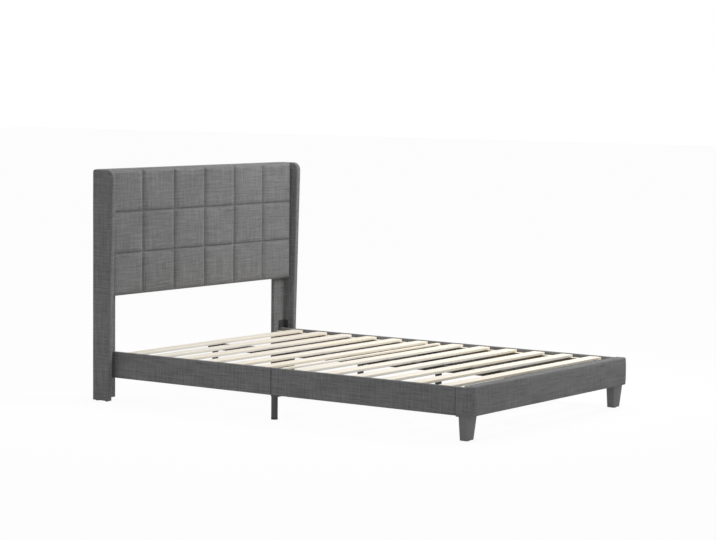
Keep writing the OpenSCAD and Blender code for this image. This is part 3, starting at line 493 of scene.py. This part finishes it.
def rounded_loop(corners, radii, step):
    """Closed loop round a convex outline, anticlockwise: straight runs cut into steps and an arc
    of the given radius at each corner, tangent to both of its edges."""
    corners = np.asarray(corners, float)
    count = len(corners)
    ends = []
    for k in range(count):
        here = corners[k]
        back = corners[k - 1] - here
        ahead = corners[(k + 1) % count] - here
        back /= np.linalg.norm(back)
        ahead /= np.linalg.norm(ahead)
        half = math.acos(float(np.clip(back @ ahead, -1, 1))) / 2
        reach = radii[k] / math.tan(half)
        centre = here + (back + ahead) / np.linalg.norm(back + ahead) * radii[k] / math.sin(half)
        first, last = here + back * reach, here + ahead * reach
        turns = max(3, int(math.ceil(radii[k] * (math.pi - 2 * half) / step))) + 1
        angles = math.atan2(*(first - centre)[::-1]) + np.linspace(0, math.pi - 2 * half, turns)
        arc = centre + radii[k] * np.stack([np.cos(angles), np.sin(angles)], 1)
        ends.append((first, last, arc))
    parts = []
    for k, (first, last, arc) in enumerate(ends):
        parts.append(arc)
        run = ends[(k + 1) % count][0] - last
        cuts = max(1, int(round(np.linalg.norm(run) / step)))
        parts.append(last + run * (np.arange(1, cuts) / cuts)[:, None])
    return np.concatenate(parts)


def rounded_rectangle(x0, x1, y0, y1, radius, step=LONG_STEP):
    """Rectangle with round corners; with the long step its sides stay uncut at any size."""
    return rounded_loop([(x0, y0), (x1, y0), (x1, y1), (x0, y1)], [radius] * 4, step)


def inset(loop, distance):
    """The loop moved inwards by the distance, mitred at its corners."""
    ahead = np.roll(loop, -1, 0) - loop
    behind = loop - np.roll(loop, 1, 0)
    ahead /= np.linalg.norm(ahead, axis=1, keepdims=True)
    behind /= np.linalg.norm(behind, axis=1, keepdims=True)
    along = ahead + behind
    along /= np.linalg.norm(along, axis=1, keepdims=True)
    share = np.clip((along * ahead).sum(1), 0.5, 1)
    return loop + np.stack([-along[:, 1], along[:, 0]], 1) * (distance / share)[:, None]


def slab(loop, low, high, edge, crown=0.0, rows=6, order=(0, 1, 2), turns=4, sides=2):
    """Closed padded board: an outline, with its thickness from low to high.

    Rings run from a middle line on one face out to the edge, round it and back on the other face.
    On a face a ring is a blend of the outline, moved in by the edge radius, and the nearest point
    of the middle line, and it rises by crown * (1 - (1 - t)^3) at a share t of the way in.
    """
    loop = np.asarray(loop, float)
    least, most = loop.min(0), loop.max(0)
    half = (most - least).min() / 2
    wide = int((most - least).argmax())
    middle = np.tile((least + most) / 2, (len(loop), 1))
    middle[:, wide] = np.clip(loop[:, wide], least[wide] + half, most[wide] - half)
    face = inset(loop, edge)
    rings = []
    for k in range(rows + 1):
        t = 1 - k / rows
        flat = face * (1 - t) + middle * t
        rings.append((flat, low - crown * (1 - (1 - t) ** 3)))
    for k in range(1, turns + 1):
        angle = math.pi / 2 * k / turns
        rings.append((inset(loop, edge * (1 - math.sin(angle))), low + edge * (1 - math.cos(angle))))
    for k in range(1, sides):
        rings.append((loop, low + edge + (high - low - 2 * edge) * k / sides))
    rings += [(flat, low + high - z) for flat, z in rings[::-1] if z < (low + high) / 2 - 1e-9]
    points = np.concatenate([np.column_stack([flat, np.full(len(flat), z)]) for flat, z in rings])
    quads = ring_quads(len(rings), len(loop))
    return points[:, list(order)], quads


def loft(rings):
    """Closed body through rings of the same count of points, its ends closed onto their middles."""
    count = len(rings[0])
    first = np.tile(rings[0].mean(0), (count, 1))
    last = np.tile(rings[-1].mean(0), (count, 1))
    points = np.concatenate([first, *rings, last])
    return points, ring_quads(len(rings) + 2, count)


def eased_bar(low, high, ease, cuts, bow=0.0, seed=1):
    """Board along X with eased edges: a rounded rectangle whose ends are drawn in by
    ease * (1 - cos) over the last ease of the length, with a slight bow that the seed picks."""
    loop = rounded_rectangle(low[1], high[1], low[2], high[2], ease)
    angles = np.linspace(0, math.pi / 2, 4)
    stations = [(low[0] + ease * (1 - math.sin(t)), ease * (1 - math.cos(t))) for t in angles[::-1]]
    stations += [(x, 0.0) for x in np.linspace(low[0] + ease, high[0] - ease, cuts + 1)[1:-1]]
    stations += [(high[0] - ease * (1 - math.sin(t)), ease * (1 - math.cos(t))) for t in angles]
    rings = []
    for x, drawn in stations:
        share = (x - low[0]) / (high[0] - low[0])
        flat = inset(loop, drawn)
        flat[:, 1] += bow * math.sin(math.pi * share) * math.sin(seed * 2.4)
        rings.append(np.column_stack([np.full(len(flat), x), flat]))
    return loft(rings)


# Headboard

def tile_lines(count, size):
    """Places across a row of tiles, close together at the seams, and how far each is from a seam."""
    tile, step = size / count, 0.0085
    near = np.array([0, 0.0008, 0.002, 0.0038, 0.006, 0.009, 0.013, 0.018])
    inner = np.linspace(near[-1], tile - near[-1], int(round((tile - 2 * near[-1]) / step)) + 1)[1:-1]
    within = np.concatenate([near, inner, tile - near[::-1]])[:-1]
    places = np.concatenate([k * tile + within for k in range(count)] + [[size]])
    fall = np.minimum(within, tile - within)
    return places, np.concatenate([np.tile(fall, count), [0.0]])


def tile_rise(fall, roll, pinch):
    """Rise of a tile from 0 at a seam to 1 inside it: 1 - (1 - d / roll)^2.6 within the roll and
    flat past it, and for the share of the pinch 1 - exp(-d / 1.6 mm), the crease of the stitching."""
    power, crease = 2.6, 0.0016
    rounded = 1 - (1 - np.clip(fall / roll, 0, 1)) ** power
    return rounded * (1 - pinch) + (1 - np.exp(-fall / crease)) * pinch


def tufted_front(soft):
    """Grid of the front of the pad, and which of its points the seams hold: X and Z places, and
    depth = seam plane - crown * rise(x) * rise(z) with a slow unevenness inside each tile."""
    edge, fullness, uneven = soft.pad_edge, 0.93, 0.05
    width, height = PAD_HIGH.x - PAD_LOW.x - 2 * edge, PAD_HIGH.z - PAD_LOW.z - 2 * edge
    xs, x_fall = tile_lines(6, width)
    zs, z_fall = tile_lines(3, height)
    rise = (tile_rise(x_fall, soft.tile_roll, soft.seam_pinch)[None, :]
            * tile_rise(z_fall, soft.tile_lip, soft.seam_pinch)[:, None])
    grid_x, grid_z = np.meshgrid(xs + PAD_LOW.x + edge, zs + PAD_LOW.z + edge)
    seam = PAD_LOW.y + soft.tile_crown
    flat = np.stack([grid_x, grid_x * 0, grid_z], -1).reshape(-1, 3)
    waves = ripple(flat, wave=0.21, seed=5).reshape(rise.shape)
    depth = seam - soft.tile_crown * rise * (fullness + uneven * waves)
    held = (x_fall[None, :] < 1e-6) | (z_fall[:, None] < 1e-6)
    return np.stack([grid_x, depth, grid_z], -1), held


SWELL_FRAMES = 20
SWELL_SETTINGS = {
    "vertex_group_mass": "seams", "quality": 4, "mass": 0.35, "tension_stiffness": 40,
    "compression_stiffness": 40, "shear_stiffness": 12, "bending_stiffness": 0.6,
    "use_pressure": True, "uniform_pressure_force": 4.0,
}


def swell(points, held, most):
    """Cloth simulation of the pad's front: the seams are pinned and pressure fills the tiles.
    How far a point may move is capped."""
    rows, columns = held.shape
    start = points.reshape(-1, 3)
    mesh = bpy.data.meshes.new("pad_front_cloth")
    mesh.from_pydata(start.tolist(), [], grid_quads(rows, columns).tolist())
    sheet = bpy.data.objects.new("pad_front_cloth", mesh)
    scene = bpy.context.scene
    scene.collection.objects.link(sheet)
    pins = sheet.vertex_groups.new(name="seams")
    pins.add(np.flatnonzero(held.ravel()).tolist(), 1.0, "REPLACE")
    cloth = sheet.modifiers.new("cloth", "CLOTH")
    for key, value in SWELL_SETTINGS.items():
        setattr(cloth.settings, key, value)
    cloth.settings.effector_weights.gravity = 0
    cloth.point_cache.frame_start = 1
    cloth.point_cache.frame_end = SWELL_FRAMES
    for count in range(1, SWELL_FRAMES + 1):
        scene.frame_set(count)
    swollen = sheet.evaluated_get(bpy.context.evaluated_depsgraph_get())
    ends = np.zeros(len(start) * 3)
    swollen.data.vertices.foreach_get("co", ends)
    moved = ends.reshape(-1, 3) - start
    scene.frame_set(1)
    bpy.data.objects.remove(sheet)
    bpy.data.meshes.remove(mesh)
    size = np.linalg.norm(moved, axis=1, keepdims=True)
    moved *= np.minimum(1, most / np.maximum(size, 1e-9))
    return (start + moved).reshape(points.shape)


def grid_quads(rows, columns):
    """Quads of a grid of points, row after row."""
    start = np.arange(rows - 1)[:, None] * columns + np.arange(columns - 1)[None, :]
    return (start[..., None] + np.array([0, 1, columns + 1, columns])).reshape(-1, 4)


def grid_rim(grid):
    """The border of a grid of points, as one closed loop."""
    return np.concatenate([grid[0, :-1], grid[:-1, -1], grid[-1, :0:-1], grid[:0:-1, 0]])


class BED_OT_headboard_pad(bpy.types.Operator):
    """Tufted pad with its tiles swollen between the sewn seams"""
    bl_idname = "bed.headboard_pad"
    bl_label = "Headboard pad"

    def execute(self, context):
        soft = context.scene.bed_upholstery
        front, held = tufted_front(soft)
        front = swell(front, held, soft.tile_swell)
        front[..., 1] = np.maximum(front[..., 1], PAD_LOW.y - soft.tile_swell)
        rows, columns = held.shape
        rim = grid_rim(front)
        index = grid_rim(np.arange(rows * columns).reshape(rows, columns)[..., None])[:, 0]
        centre = np.array([0, 0, (PAD_LOW.z + PAD_HIGH.z) / 2])
        half = np.array([(PAD_HIGH.x - PAD_LOW.x) / 2, 0, (PAD_HIGH.z - PAD_LOW.z) / 2])
        edge, slack = soft.pad_edge, 1e-4
        outside = np.abs(rim - centre) > half - edge - slack
        side = np.where(outside, np.sign(rim - centre), 0) * (1, 0, 1)
        turned = [rim + side * edge * math.sin(t) + (0, edge * (1 - math.cos(t)), 0)
                  for t in np.linspace(0, math.pi / 2, 4)[1:]]
        backs = turned[-1].copy()
        backs[:, 1] = PAD_HIGH.y
        closing = np.tile([0, PAD_HIGH.y, centre[2]], (len(rim), 1))
        closing[:, 0] = np.clip(backs[:, 0], -half[0] + half[2], half[0] - half[2])
        rings = turned + [backs, closing]
        points = np.concatenate([front.reshape(-1, 3), *rings])
        count = len(rim)
        start = rows * columns
        here, ahead = np.arange(count), (np.arange(count) + 1) % count
        first = np.stack([index[here], start + here, start + ahead, index[ahead]], 1)
        walls = ring_quads(len(rings), count)[:, [0, 3, 2, 1]] + start
        quads = np.concatenate([grid_quads(rows, columns), first, walls])
        mesh = build_mesh("headboard_pad_cloth", [(points, quads)], crease=80)
        pad = add_piece("headboard_pad_cloth", mesh, "cloth", ["headboard_pad"])
        fine = pad.modifiers.new("finer", "SUBSURF")
        fine.levels = fine.render_levels = 1
        return {"FINISHED"}


class BED_OT_wings(bpy.types.Operator):
    """Padded wings: the lean front edge and round top corner, with soft faces"""
    bl_idname = "bed.wings"
    bl_label = "Wings"

    def execute(self, context):
        soft = context.scene.bed_upholstery
        outline = [
            (WING_HIGH.y, WING_LOW.z), (WING_HIGH.y, WING_HIGH.z),
            (WING_LOW.y, WING_HIGH.z), (WING_HIGH.y - soft.wing_foot_depth, WING_LOW.z),
        ]
        hem, back_corner, squash, uneven = 0.003, 0.012, 0.012, 0.0006
        loop = rounded_loop(outline, [hem, back_corner, soft.wing_corner, hem], step=0.011)
        for side, sign in SIDES.items():
            points, quads = slab(loop, WING_LOW.x, WING_HIGH.x, soft.wing_edge, crown=0.0012, rows=7,
                                 order=(2, 0, 1), turns=5, sides=3)
            points[:, 0] *= sign
            centre = sign * (WING_LOW.x + WING_HIGH.x) / 2
            rise = ripple(points * (1, 2.2, 1), wave=0.30, seed=11 + sign) * uneven
            points[:, 0] += rise * np.sign(points[:, 0] - centre)
            height = points[:, 2] - WING_LOW.z
            points[:, 2] = WING_LOW.z + np.where(height < squash, height ** 2 / squash, height)
            piece = add_cover(side + "_wing", points, quads)
        return {"FINISHED"}


class BED_OT_posts(bpy.types.Operator):
    """Cloth sleeves over the boards that carry the panel"""
    bl_idname = "bed.posts"
    bl_label = "Posts"

    def execute(self, context):
        loop = rounded_rectangle(POST_LOW.x, POST_HIGH.x, POST_LOW.z, POST_HIGH.z,
                                 radius=0.002, step=0.011)
        for side, sign in SIDES.items():
            points, quads = slab(loop, POST_LOW.y, POST_HIGH.y, edge=0.0025, order=(0, 2, 1))
            points[:, 0] *= sign
            piece = add_cover(side + "_post", points, quads)
        return {"FINISHED"}


class BED_OT_back(bpy.types.Operator):
    """Cloth over the back of the headboard"""
    bl_idname = "bed.back"
    bl_label = "Back cloth"

    def execute(self, context):
        gap, sag, uneven = 0.0004, 0.0012, 0.0005
        loop = rounded_rectangle(BACK_LOW.x, BACK_HIGH.x, BACK_LOW.z, BACK_HIGH.z,
                                 radius=0.002, step=0.014)
        points, quads = slab(loop, BACK_LOW.y + gap, BACK_HIGH.y, edge=0.003, rows=16,
                             order=(0, 2, 1), sides=6)
        back = points[:, 1] > BACK_HIGH.y - 0.001
        waves = ripple(points, wave=0.35, seed=3)
        dip = (1 - (points[:, 0] / BACK_HIGH.x) ** 6) * sag + waves * uneven
        points[:, 1] -= np.where(back, dip, 0)
        piece = add_cover("headboard_back", points, quads)
        return {"FINISHED"}


# Rails

class BED_OT_side_rails(bpy.types.Operator):
    """Cloth covers of the four halves of the side rails, with turned-in ends"""
    bl_idname = "bed.side_rails"
    bl_label = "Side rails"

    def execute(self, context):
        soft, uneven = context.scene.bed_upholstery, 0.0005
        for side, sign in SIDES.items():
            for end in ("head", "foot"):
                name = f"{side}_rail_{end}"
                low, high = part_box(name + "_cover")
                near, far = low.y + soft.rail_end, high.y - soft.rail_end
                loop = rounded_rectangle(near, far, low.z, high.z, radius=0.0025, step=0.012)
                points, quads = slab(loop, RAIL_LOW.x, RAIL_HIGH.x, soft.rail_edge, crown=0.0006, rows=7,
                                     order=(2, 0, 1))
                points[:, 0] *= sign
                middle = sign * (RAIL_LOW.x + RAIL_HIGH.x) / 2
                away = np.sign(points[:, 0] - middle)
                waves = ripple(points * (1, 1, 2.5), wave=0.24, seed=20 + sign + len(end))
                points[:, 0] += away * waves * uneven
                piece = add_cover(name, points, quads)
        return {"FINISHED"}


def foot_paths(soft):
    """Outer and inner line of the foot rail in plan, point for point, from the left return round
    the front to the right return; the corner's arc fans out from the inner corner."""
    outer_x, front, back = FOOT_HIGH.x, FOOT_LOW.y, FOOT_HIGH.y
    inner_x = RAIL_LOW.x
    inner_y = front + soft.foot_thickness
    radius = soft.foot_corner
    side_cuts, fan_cuts, arc_cuts, count = 4, 3, 12, 56
    side_y = np.linspace(back, inner_y, side_cuts + 1)[:-1]
    outer = [np.column_stack([np.full(side_cuts, -outer_x), side_y])]
    inner = [np.column_stack([np.full(side_cuts, -inner_x), side_y])]
    fan_y = np.linspace(inner_y, front + radius, fan_cuts + 1)[:-1]
    outer.append(np.column_stack([np.full(fan_cuts, -outer_x), fan_y]))
    angles = np.linspace(math.pi, 1.5 * math.pi, arc_cuts)
    centre = np.array([-outer_x + radius, front + radius])
    outer.append(centre + radius * np.stack([np.cos(angles), np.sin(angles)], 1))
    inner.append(np.tile([-inner_x, inner_y], (fan_cuts + arc_cuts, 1)))
    share = np.linspace(0, 1, 2 * count + 1)[1:count + 1]
    outer.append(np.column_stack([-(outer_x - radius) * (1 - 2 * share), np.full(count, front)]))
    inner.append(np.column_stack([-inner_x * (1 - 2 * share), np.full(count, inner_y)]))
    outer, inner = np.concatenate(outer), np.concatenate(inner)
    flip = np.array([-1, 1])
    return (np.concatenate([outer, (outer * flip)[-2::-1]]),
            np.concatenate([inner, (inner * flip)[-2::-1]]))


class BED_OT_foot_rail(bpy.types.Operator):
    """Padded foot rail: round corners, a rolled top edge and a soft hem"""
    bl_idname = "bed.foot_rail"
    bl_label = "Foot rail"

    def execute(self, context):
        soft = context.scene.bed_upholstery
        outer, inner = foot_paths(soft)
        across = inner - outer
        wide = np.linalg.norm(across, axis=1)
        across /= wide[:, None]
        thin, thin_edge, inner_edge = RAIL_HIGH.x - RAIL_LOW.x, 0.0032, 0.002
        bulge, uneven = 0.0018, 0.0007
        front = np.clip((wide - thin) / (soft.foot_thickness - thin), 0, 1)
        low = FOOT_LOW.z
        high = RAIL_HIGH.z + (FOOT_HIGH.z - RAIL_HIGH.z) * front * front * (3 - 2 * front)
        roll = thin_edge + (soft.foot_roll - thin_edge) * front
        hem = thin_edge + (soft.foot_hem - thin_edge) * front

        def at(depth, height):
            return np.column_stack([outer + across * depth[:, None], np.broadcast_to(height, len(outer))])

        rings = []
        for z in np.linspace(0, 1, 9):
            out = front * bulge * (1 - (2 * z - 1) ** 4)
            rings.append(at(-out, low + hem + (high - low - roll - hem) * z))
        for angle in np.linspace(0, math.pi / 2, 8)[1:]:
            rings.append(at(roll * (1 - math.cos(angle)), high - roll + roll * math.sin(angle)))
        for share in (0.3, 0.6):
            rings.append(at(roll + (wide - roll - inner_edge) * share, high))
        for angle in np.linspace(math.pi / 2, 0, 4):
            rings.append(at(wide - inner_edge + inner_edge * math.cos(angle),
                            high - inner_edge + inner_edge * math.sin(angle)))
        for share in (0.35, 0.7):
            rings.append(at(wide, high - inner_edge - (high - low - 2 * inner_edge) * share))
        for angle in np.linspace(0, math.pi / 2, 4):
            rings.append(at(wide - inner_edge + inner_edge * math.cos(angle),
                            low + inner_edge - inner_edge * math.sin(angle)))
        rings.append(at((wide - inner_edge + hem) / 2, low))
        for angle in np.linspace(math.pi / 2, 0, 5)[:-1]:
            rings.append(at(hem * (1 - math.cos(angle)), low + hem - hem * math.sin(angle)))
        sections = np.stack(rings, 1)
        waves = ripple(sections.reshape(-1, 3) * (1, 1, 2.2), wave=0.26, seed=31)
        lift = front[:, None] * uneven * waves.reshape(sections.shape[:2])
        sections[..., :2] -= across[:, None, :] * lift[..., None]
        piece = add_cover("foot_rail", *loft(list(sections)), "foot_rail_foam", crease=60)
        return {"FINISHED"}


# Slats

class BED_OT_slats(bpy.types.Operator):
    """Twelve pale slats with eased edges, and the cross batten between the groups"""
    bl_idname = "bed.slats"
    bl_label = "Slats"

    def execute(self, context):
        wood = context.scene.bed_wood
        width, pitch = 0.060, 0.151
        for group, node in enumerate(("slats_head", "slats_foot")):
            low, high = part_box(node)
            count = int(round((high.y - low.y - width) / pitch)) + 1
            shells = []
            for k in range(count):
                y = low.y + k * pitch
                shells.append(eased_bar((low.x, y, low.z), (high.x, y + width, high.z), wood.slat_ease,
                                        cuts=8, bow=0.0006, seed=1 + k + group * 7))
            mesh = build_mesh(node + "_wood", shells, crease=50)
            add_piece(node + "_wood", mesh, "slat", [node])
        low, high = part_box("crossbar")
        mesh = build_mesh("crossbar_wood", [eased_bar(low, high, ease=0.0012, cuts=4)], crease=50)
        add_piece("crossbar_wood", mesh, "slat", ["crossbar"])
        return {"FINISHED"}


# Legs

# The round of a leg's sole: heights above it, and how far the outline is drawn in there
LEG_SOLE = ((0.0, 0.0012), (0.0005, 0.0004), (0.0014, 0.0))


class BED_OT_foot_legs(bpy.types.Operator):
    """Moulded foot legs: tapered, with rounded corners and a flange behind"""
    bl_idname = "bed.foot_legs"
    bl_label = "Foot legs"

    def execute(self, context):
        hard = context.scene.bed_hardware
        low_w, top_w = hard.leg_low_width, LEG_HIGH.x - LEG_LOW.x
        low_d, top_d = hard.leg_low_depth, hard.leg_top_depth
        flange, corner, skin = hard.leg_flange, 0.0028, 0.0001
        lap, plate_corner, plate_hem, hem = 0.010, 0.003, 0.0008, 0.0005
        centre_x = (LEG_LOW.x + LEG_HIGH.x) / 2
        back = LEG_LOW.y + top_d
        for side, sign in SIDES.items():
            rings = []
            heights = [(LEG_LOW.z + up, drawn) for up, drawn in LEG_SOLE]
            heights += [(z, 0.0) for z in np.linspace(LEG_LOW.z + 0.01, LEG_HIGH.z - flange, 9)]
            heights += [(LEG_HIGH.z - flange / 2, 0.0), (LEG_HIGH.z - skin, 0.0)]
            for z, drawn in heights:
                share = min(1.0, (z - LEG_LOW.z) / (LEG_HIGH.z - flange / 2 - LEG_LOW.z))
                half = (low_w + (top_w - low_w) * share) / 2
                nose = back - low_d - (top_d - low_d) * share
                loop = rounded_rectangle(centre_x - half + drawn, centre_x + half - drawn,
                                         nose + drawn, back - drawn, corner)
                rings.append(np.column_stack([loop, np.full(len(loop), z)]))
            shells = [loft(rings)]
            plate = []
            for z, drawn in ((LEG_HIGH.z - flange, plate_hem), (LEG_HIGH.z - flange + hem, 0.0),
                             (LEG_HIGH.z - skin, 0.0)):
                loop = rounded_rectangle(LEG_LOW.x + drawn, LEG_HIGH.x - drawn,
                                         back - lap + drawn, LEG_HIGH.y - drawn, plate_corner)
                plate.append(np.column_stack([loop, np.full(len(loop), z)]))
            shells.append(loft(plate))
            shells = [(points * (sign, 1, 1), quads) for points, quads in shells]
            mesh = build_mesh(side + "_foot_leg_moulding", shells, crease=35)
            add_piece(side + "_foot_leg_moulding", mesh, "leg", [side + "_foot_leg"])
        return {"FINISHED"}


class BED_OT_finishes(bpy.types.Operator):
    """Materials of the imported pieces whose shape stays"""
    bl_idname = "bed.finishes"
    bl_label = "Finishes of the frame"

    def execute(self, context):
        for names, key in FRAME_FINISHES:
            for name in names.split():
                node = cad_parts[name]
                node.data.materials.clear()
                node.data.materials.append(finish(key))
        bare = [name for name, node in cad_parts.items()
                if not node.hide_render and node.data.materials[0].name not in
                {m.name for m in FINISHES.values()}]
        if bare:
            raise RuntimeError(f"no finish for {bare}")
        return {"FINISHED"}


FRAME_FINISHES = (
    ("headboard_board left_rail_head_board left_rail_foot_board right_rail_head_board "
     "right_rail_foot_board left_wing_board right_wing_board foot_return_boards", "ply_x"),
    ("left_post_board right_post_board foot_rail_board", "ply_y"),
    ("headboard_top_rail headboard_bottom_rail", "timber_x"),
    ("headboard_uprights wing_cleats", "timber_z"),
    ("foot_corner_blocks", "timber_y"),
    ("slat_ledges", "ledge"),
    ("left_corner_bracket right_corner_bracket left_joint_plate right_joint_plate beam_seat "
     "head_centre_beam foot_centre_beam bracket_bolts", "steel"),
    ("centre_legs left_mid_leg right_mid_leg", "tube"),
    ("foot_glides head_glides leg_plugs left_level_foot right_level_foot centre_level_foot_1 "
     "centre_level_foot_2 centre_level_foot_3 centre_level_foot_4", "plastic"),
    ("beam_joiner bed_bolts barrel_nuts wood_screws leg_studs", "zinc"),
    ("slat_grip_pads", "tape"),
)


# Stage

def lamp(name, place, aim, size, power):
    """Square area lamp at a place, turned so that it shines at the aim."""
    data = bpy.data.lights.new(name, "AREA")
    data.shape = "SQUARE"
    data.size = size
    data.energy = power
    item = bpy.data.objects.new(name, data)
    bpy.context.scene.collection.objects.link(item)
    item.location = place
    item.visible_camera = False
    way = np.subtract(aim, place)
    item.rotation_mode = "QUATERNION"
    item.rotation_quaternion = Vector(way).to_track_quat("-Z", "Y")


class BED_OT_stage(bpy.types.Operator):
    """Pale floor, soft studio light and the camera"""
    bl_idname = "bed.stage"
    bl_label = "Stage"

    def execute(self, context):
        stage = context.scene.bed_stage
        side = 40.0
        mesh = bpy.data.meshes.new("studio_floor")
        mesh.from_pydata([(-side, -side, 0), (side, -side, 0), (side, side, 0), (-side, side, 0)],
                         [], [(0, 1, 2, 3)])
        floor = bpy.data.objects.new("studio_floor", mesh)
        context.scene.collection.objects.link(floor)
        paper = Finish("studio_paper", Roughness=0.95)
        bounced, shown, glowing = 0.62, 0.97, 0.93
        path = paper.node("ShaderNodeLightPath", {}, {})
        camera_ray = paper.wire(path, "Is Camera Ray")
        seen = camera_ray.maths("MAXIMUM", camera_ray, paper.wire(path, "Is Glossy Ray"))
        paper.feed(Base_Color=paper.mix(seen, rgba([bounced] * 3), rgba([shown] * 3)))
        glow = paper.node("ShaderNodeEmission", {}, {"Strength": 1.0})
        blend = paper.node("ShaderNodeMixShader", {}, {0: seen * glowing})
        paper.tree.links.new(paper.shader.outputs[0], blend.inputs[1])
        paper.tree.links.new(glow.outputs[0], blend.inputs[2])
        output = next(n for n in paper.tree.nodes if n.type == "OUTPUT_MATERIAL")
        paper.tree.links.new(blend.outputs[0], output.inputs[0])
        mesh.materials.append(paper.material)

        world = bpy.data.worlds.new("studio")
        context.scene.world = world
        world.use_nodes = True
        tree = world.node_tree
        tree.nodes.clear()
        rays = tree.nodes.new("ShaderNodeLightPath")
        share = tree.nodes.new("ShaderNodeMapRange")
        share.inputs["To Min"].default_value = stage.fill
        share.inputs["To Max"].default_value = 1.0
        sky = tree.nodes.new("ShaderNodeBackground")
        sky.inputs["Color"].default_value = (1, 1, 1, 1)
        end = tree.nodes.new("ShaderNodeOutputWorld")
        tree.links.new(rays.outputs["Is Camera Ray"], share.inputs["Value"])
        tree.links.new(share.outputs[0], sky.inputs["Strength"])
        tree.links.new(sky.outputs[0], end.inputs["Surface"])

        lamp("key_lamp", place=(0.9, -1.0, 1.9), aim=(0.1, 1.2, 0.9), size=1.2, power=stage.key_power)
        lamp("top_lamp", place=(0.0, 0.7, 3.4), aim=(0, 0.6, 0), size=2.4, power=stage.top_power)

        context.scene.view_settings.view_transform = "Standard"
        camera = bpy.data.cameras.new("camera")
        camera.sensor_width = 36
        camera.lens = stage.lens
        camera.clip_end = 200
        eye = bpy.data.objects.new("camera", camera)
        context.scene.collection.objects.link(eye)
        yaw, pitch, roll = stage.yaw, stage.pitch, stage.roll
        ahead = np.array([math.sin(yaw) * math.cos(pitch), math.cos(yaw) * math.cos(pitch),
                          math.sin(pitch)])
        right = np.array([math.cos(yaw), -math.sin(yaw), 0])
        up = np.cross(right, ahead)
        turned_right = right * math.cos(roll) + up * math.sin(roll)
        turned_up = up * math.cos(roll) - right * math.sin(roll)
        world_matrix = np.eye(4)
        world_matrix[:3, 0], world_matrix[:3, 1], world_matrix[:3, 2] = turned_right, turned_up, -ahead
        world_matrix[:3, 3] = stage.camera_place
        eye.matrix_world = Matrix(world_matrix.tolist())
        context.scene.camera = eye
        return {"FINISHED"}


OPERATORS = (
    BED_OT_headboard_pad, BED_OT_wings, BED_OT_posts, BED_OT_back, BED_OT_side_rails, BED_OT_foot_rail,
    BED_OT_slats, BED_OT_foot_legs, BED_OT_finishes, BED_OT_stage,
)
SETTINGS = {
    "bed_upholstery": UpholsterySettings, "bed_wood": WoodSettings,
    "bed_hardware": HardwareSettings, "bed_stage": StageSettings,
}


class BED_PT_panel(bpy.types.Panel):
    """Lists the pieces of the bed and the stage"""
    bl_idname = "BED_PT_panel"
    bl_label = "Bed"
    bl_space_type = "VIEW_3D"
    bl_region_type = "UI"
    bl_category = "Bed"

    def draw(self, context):
        for key in SETTINGS:
            column = self.layout.column(heading=key)
            settings = getattr(context.scene, key)
            for name in settings.bl_rna.properties.keys():
                if name not in ("rna_type", "name"):
                    column.prop(settings, name)
        for operator in OPERATORS:
            self.layout.operator(operator.bl_idname)


def register():
    for group in SETTINGS.values():
        bpy.utils.register_class(group)
    for key, group in SETTINGS.items():
        setattr(bpy.types.Scene, key, PointerProperty(type=group))
    for operator in OPERATORS:
        bpy.utils.register_class(operator)
    bpy.utils.register_class(BED_PT_panel)


def unregister():
    bpy.utils.unregister_class(BED_PT_panel)
    for operator in reversed(OPERATORS):
        bpy.utils.unregister_class(operator)
    for key, group in SETTINGS.items():
        delattr(bpy.types.Scene, key)
        bpy.utils.unregister_class(group)


def main():
    register()
    for operator in OPERATORS:
        group, name = operator.bl_idname.split(".")
        getattr(getattr(bpy.ops, group), name)()
    bpy.context.view_layer.update()


if __name__ == "__main__":
    main()
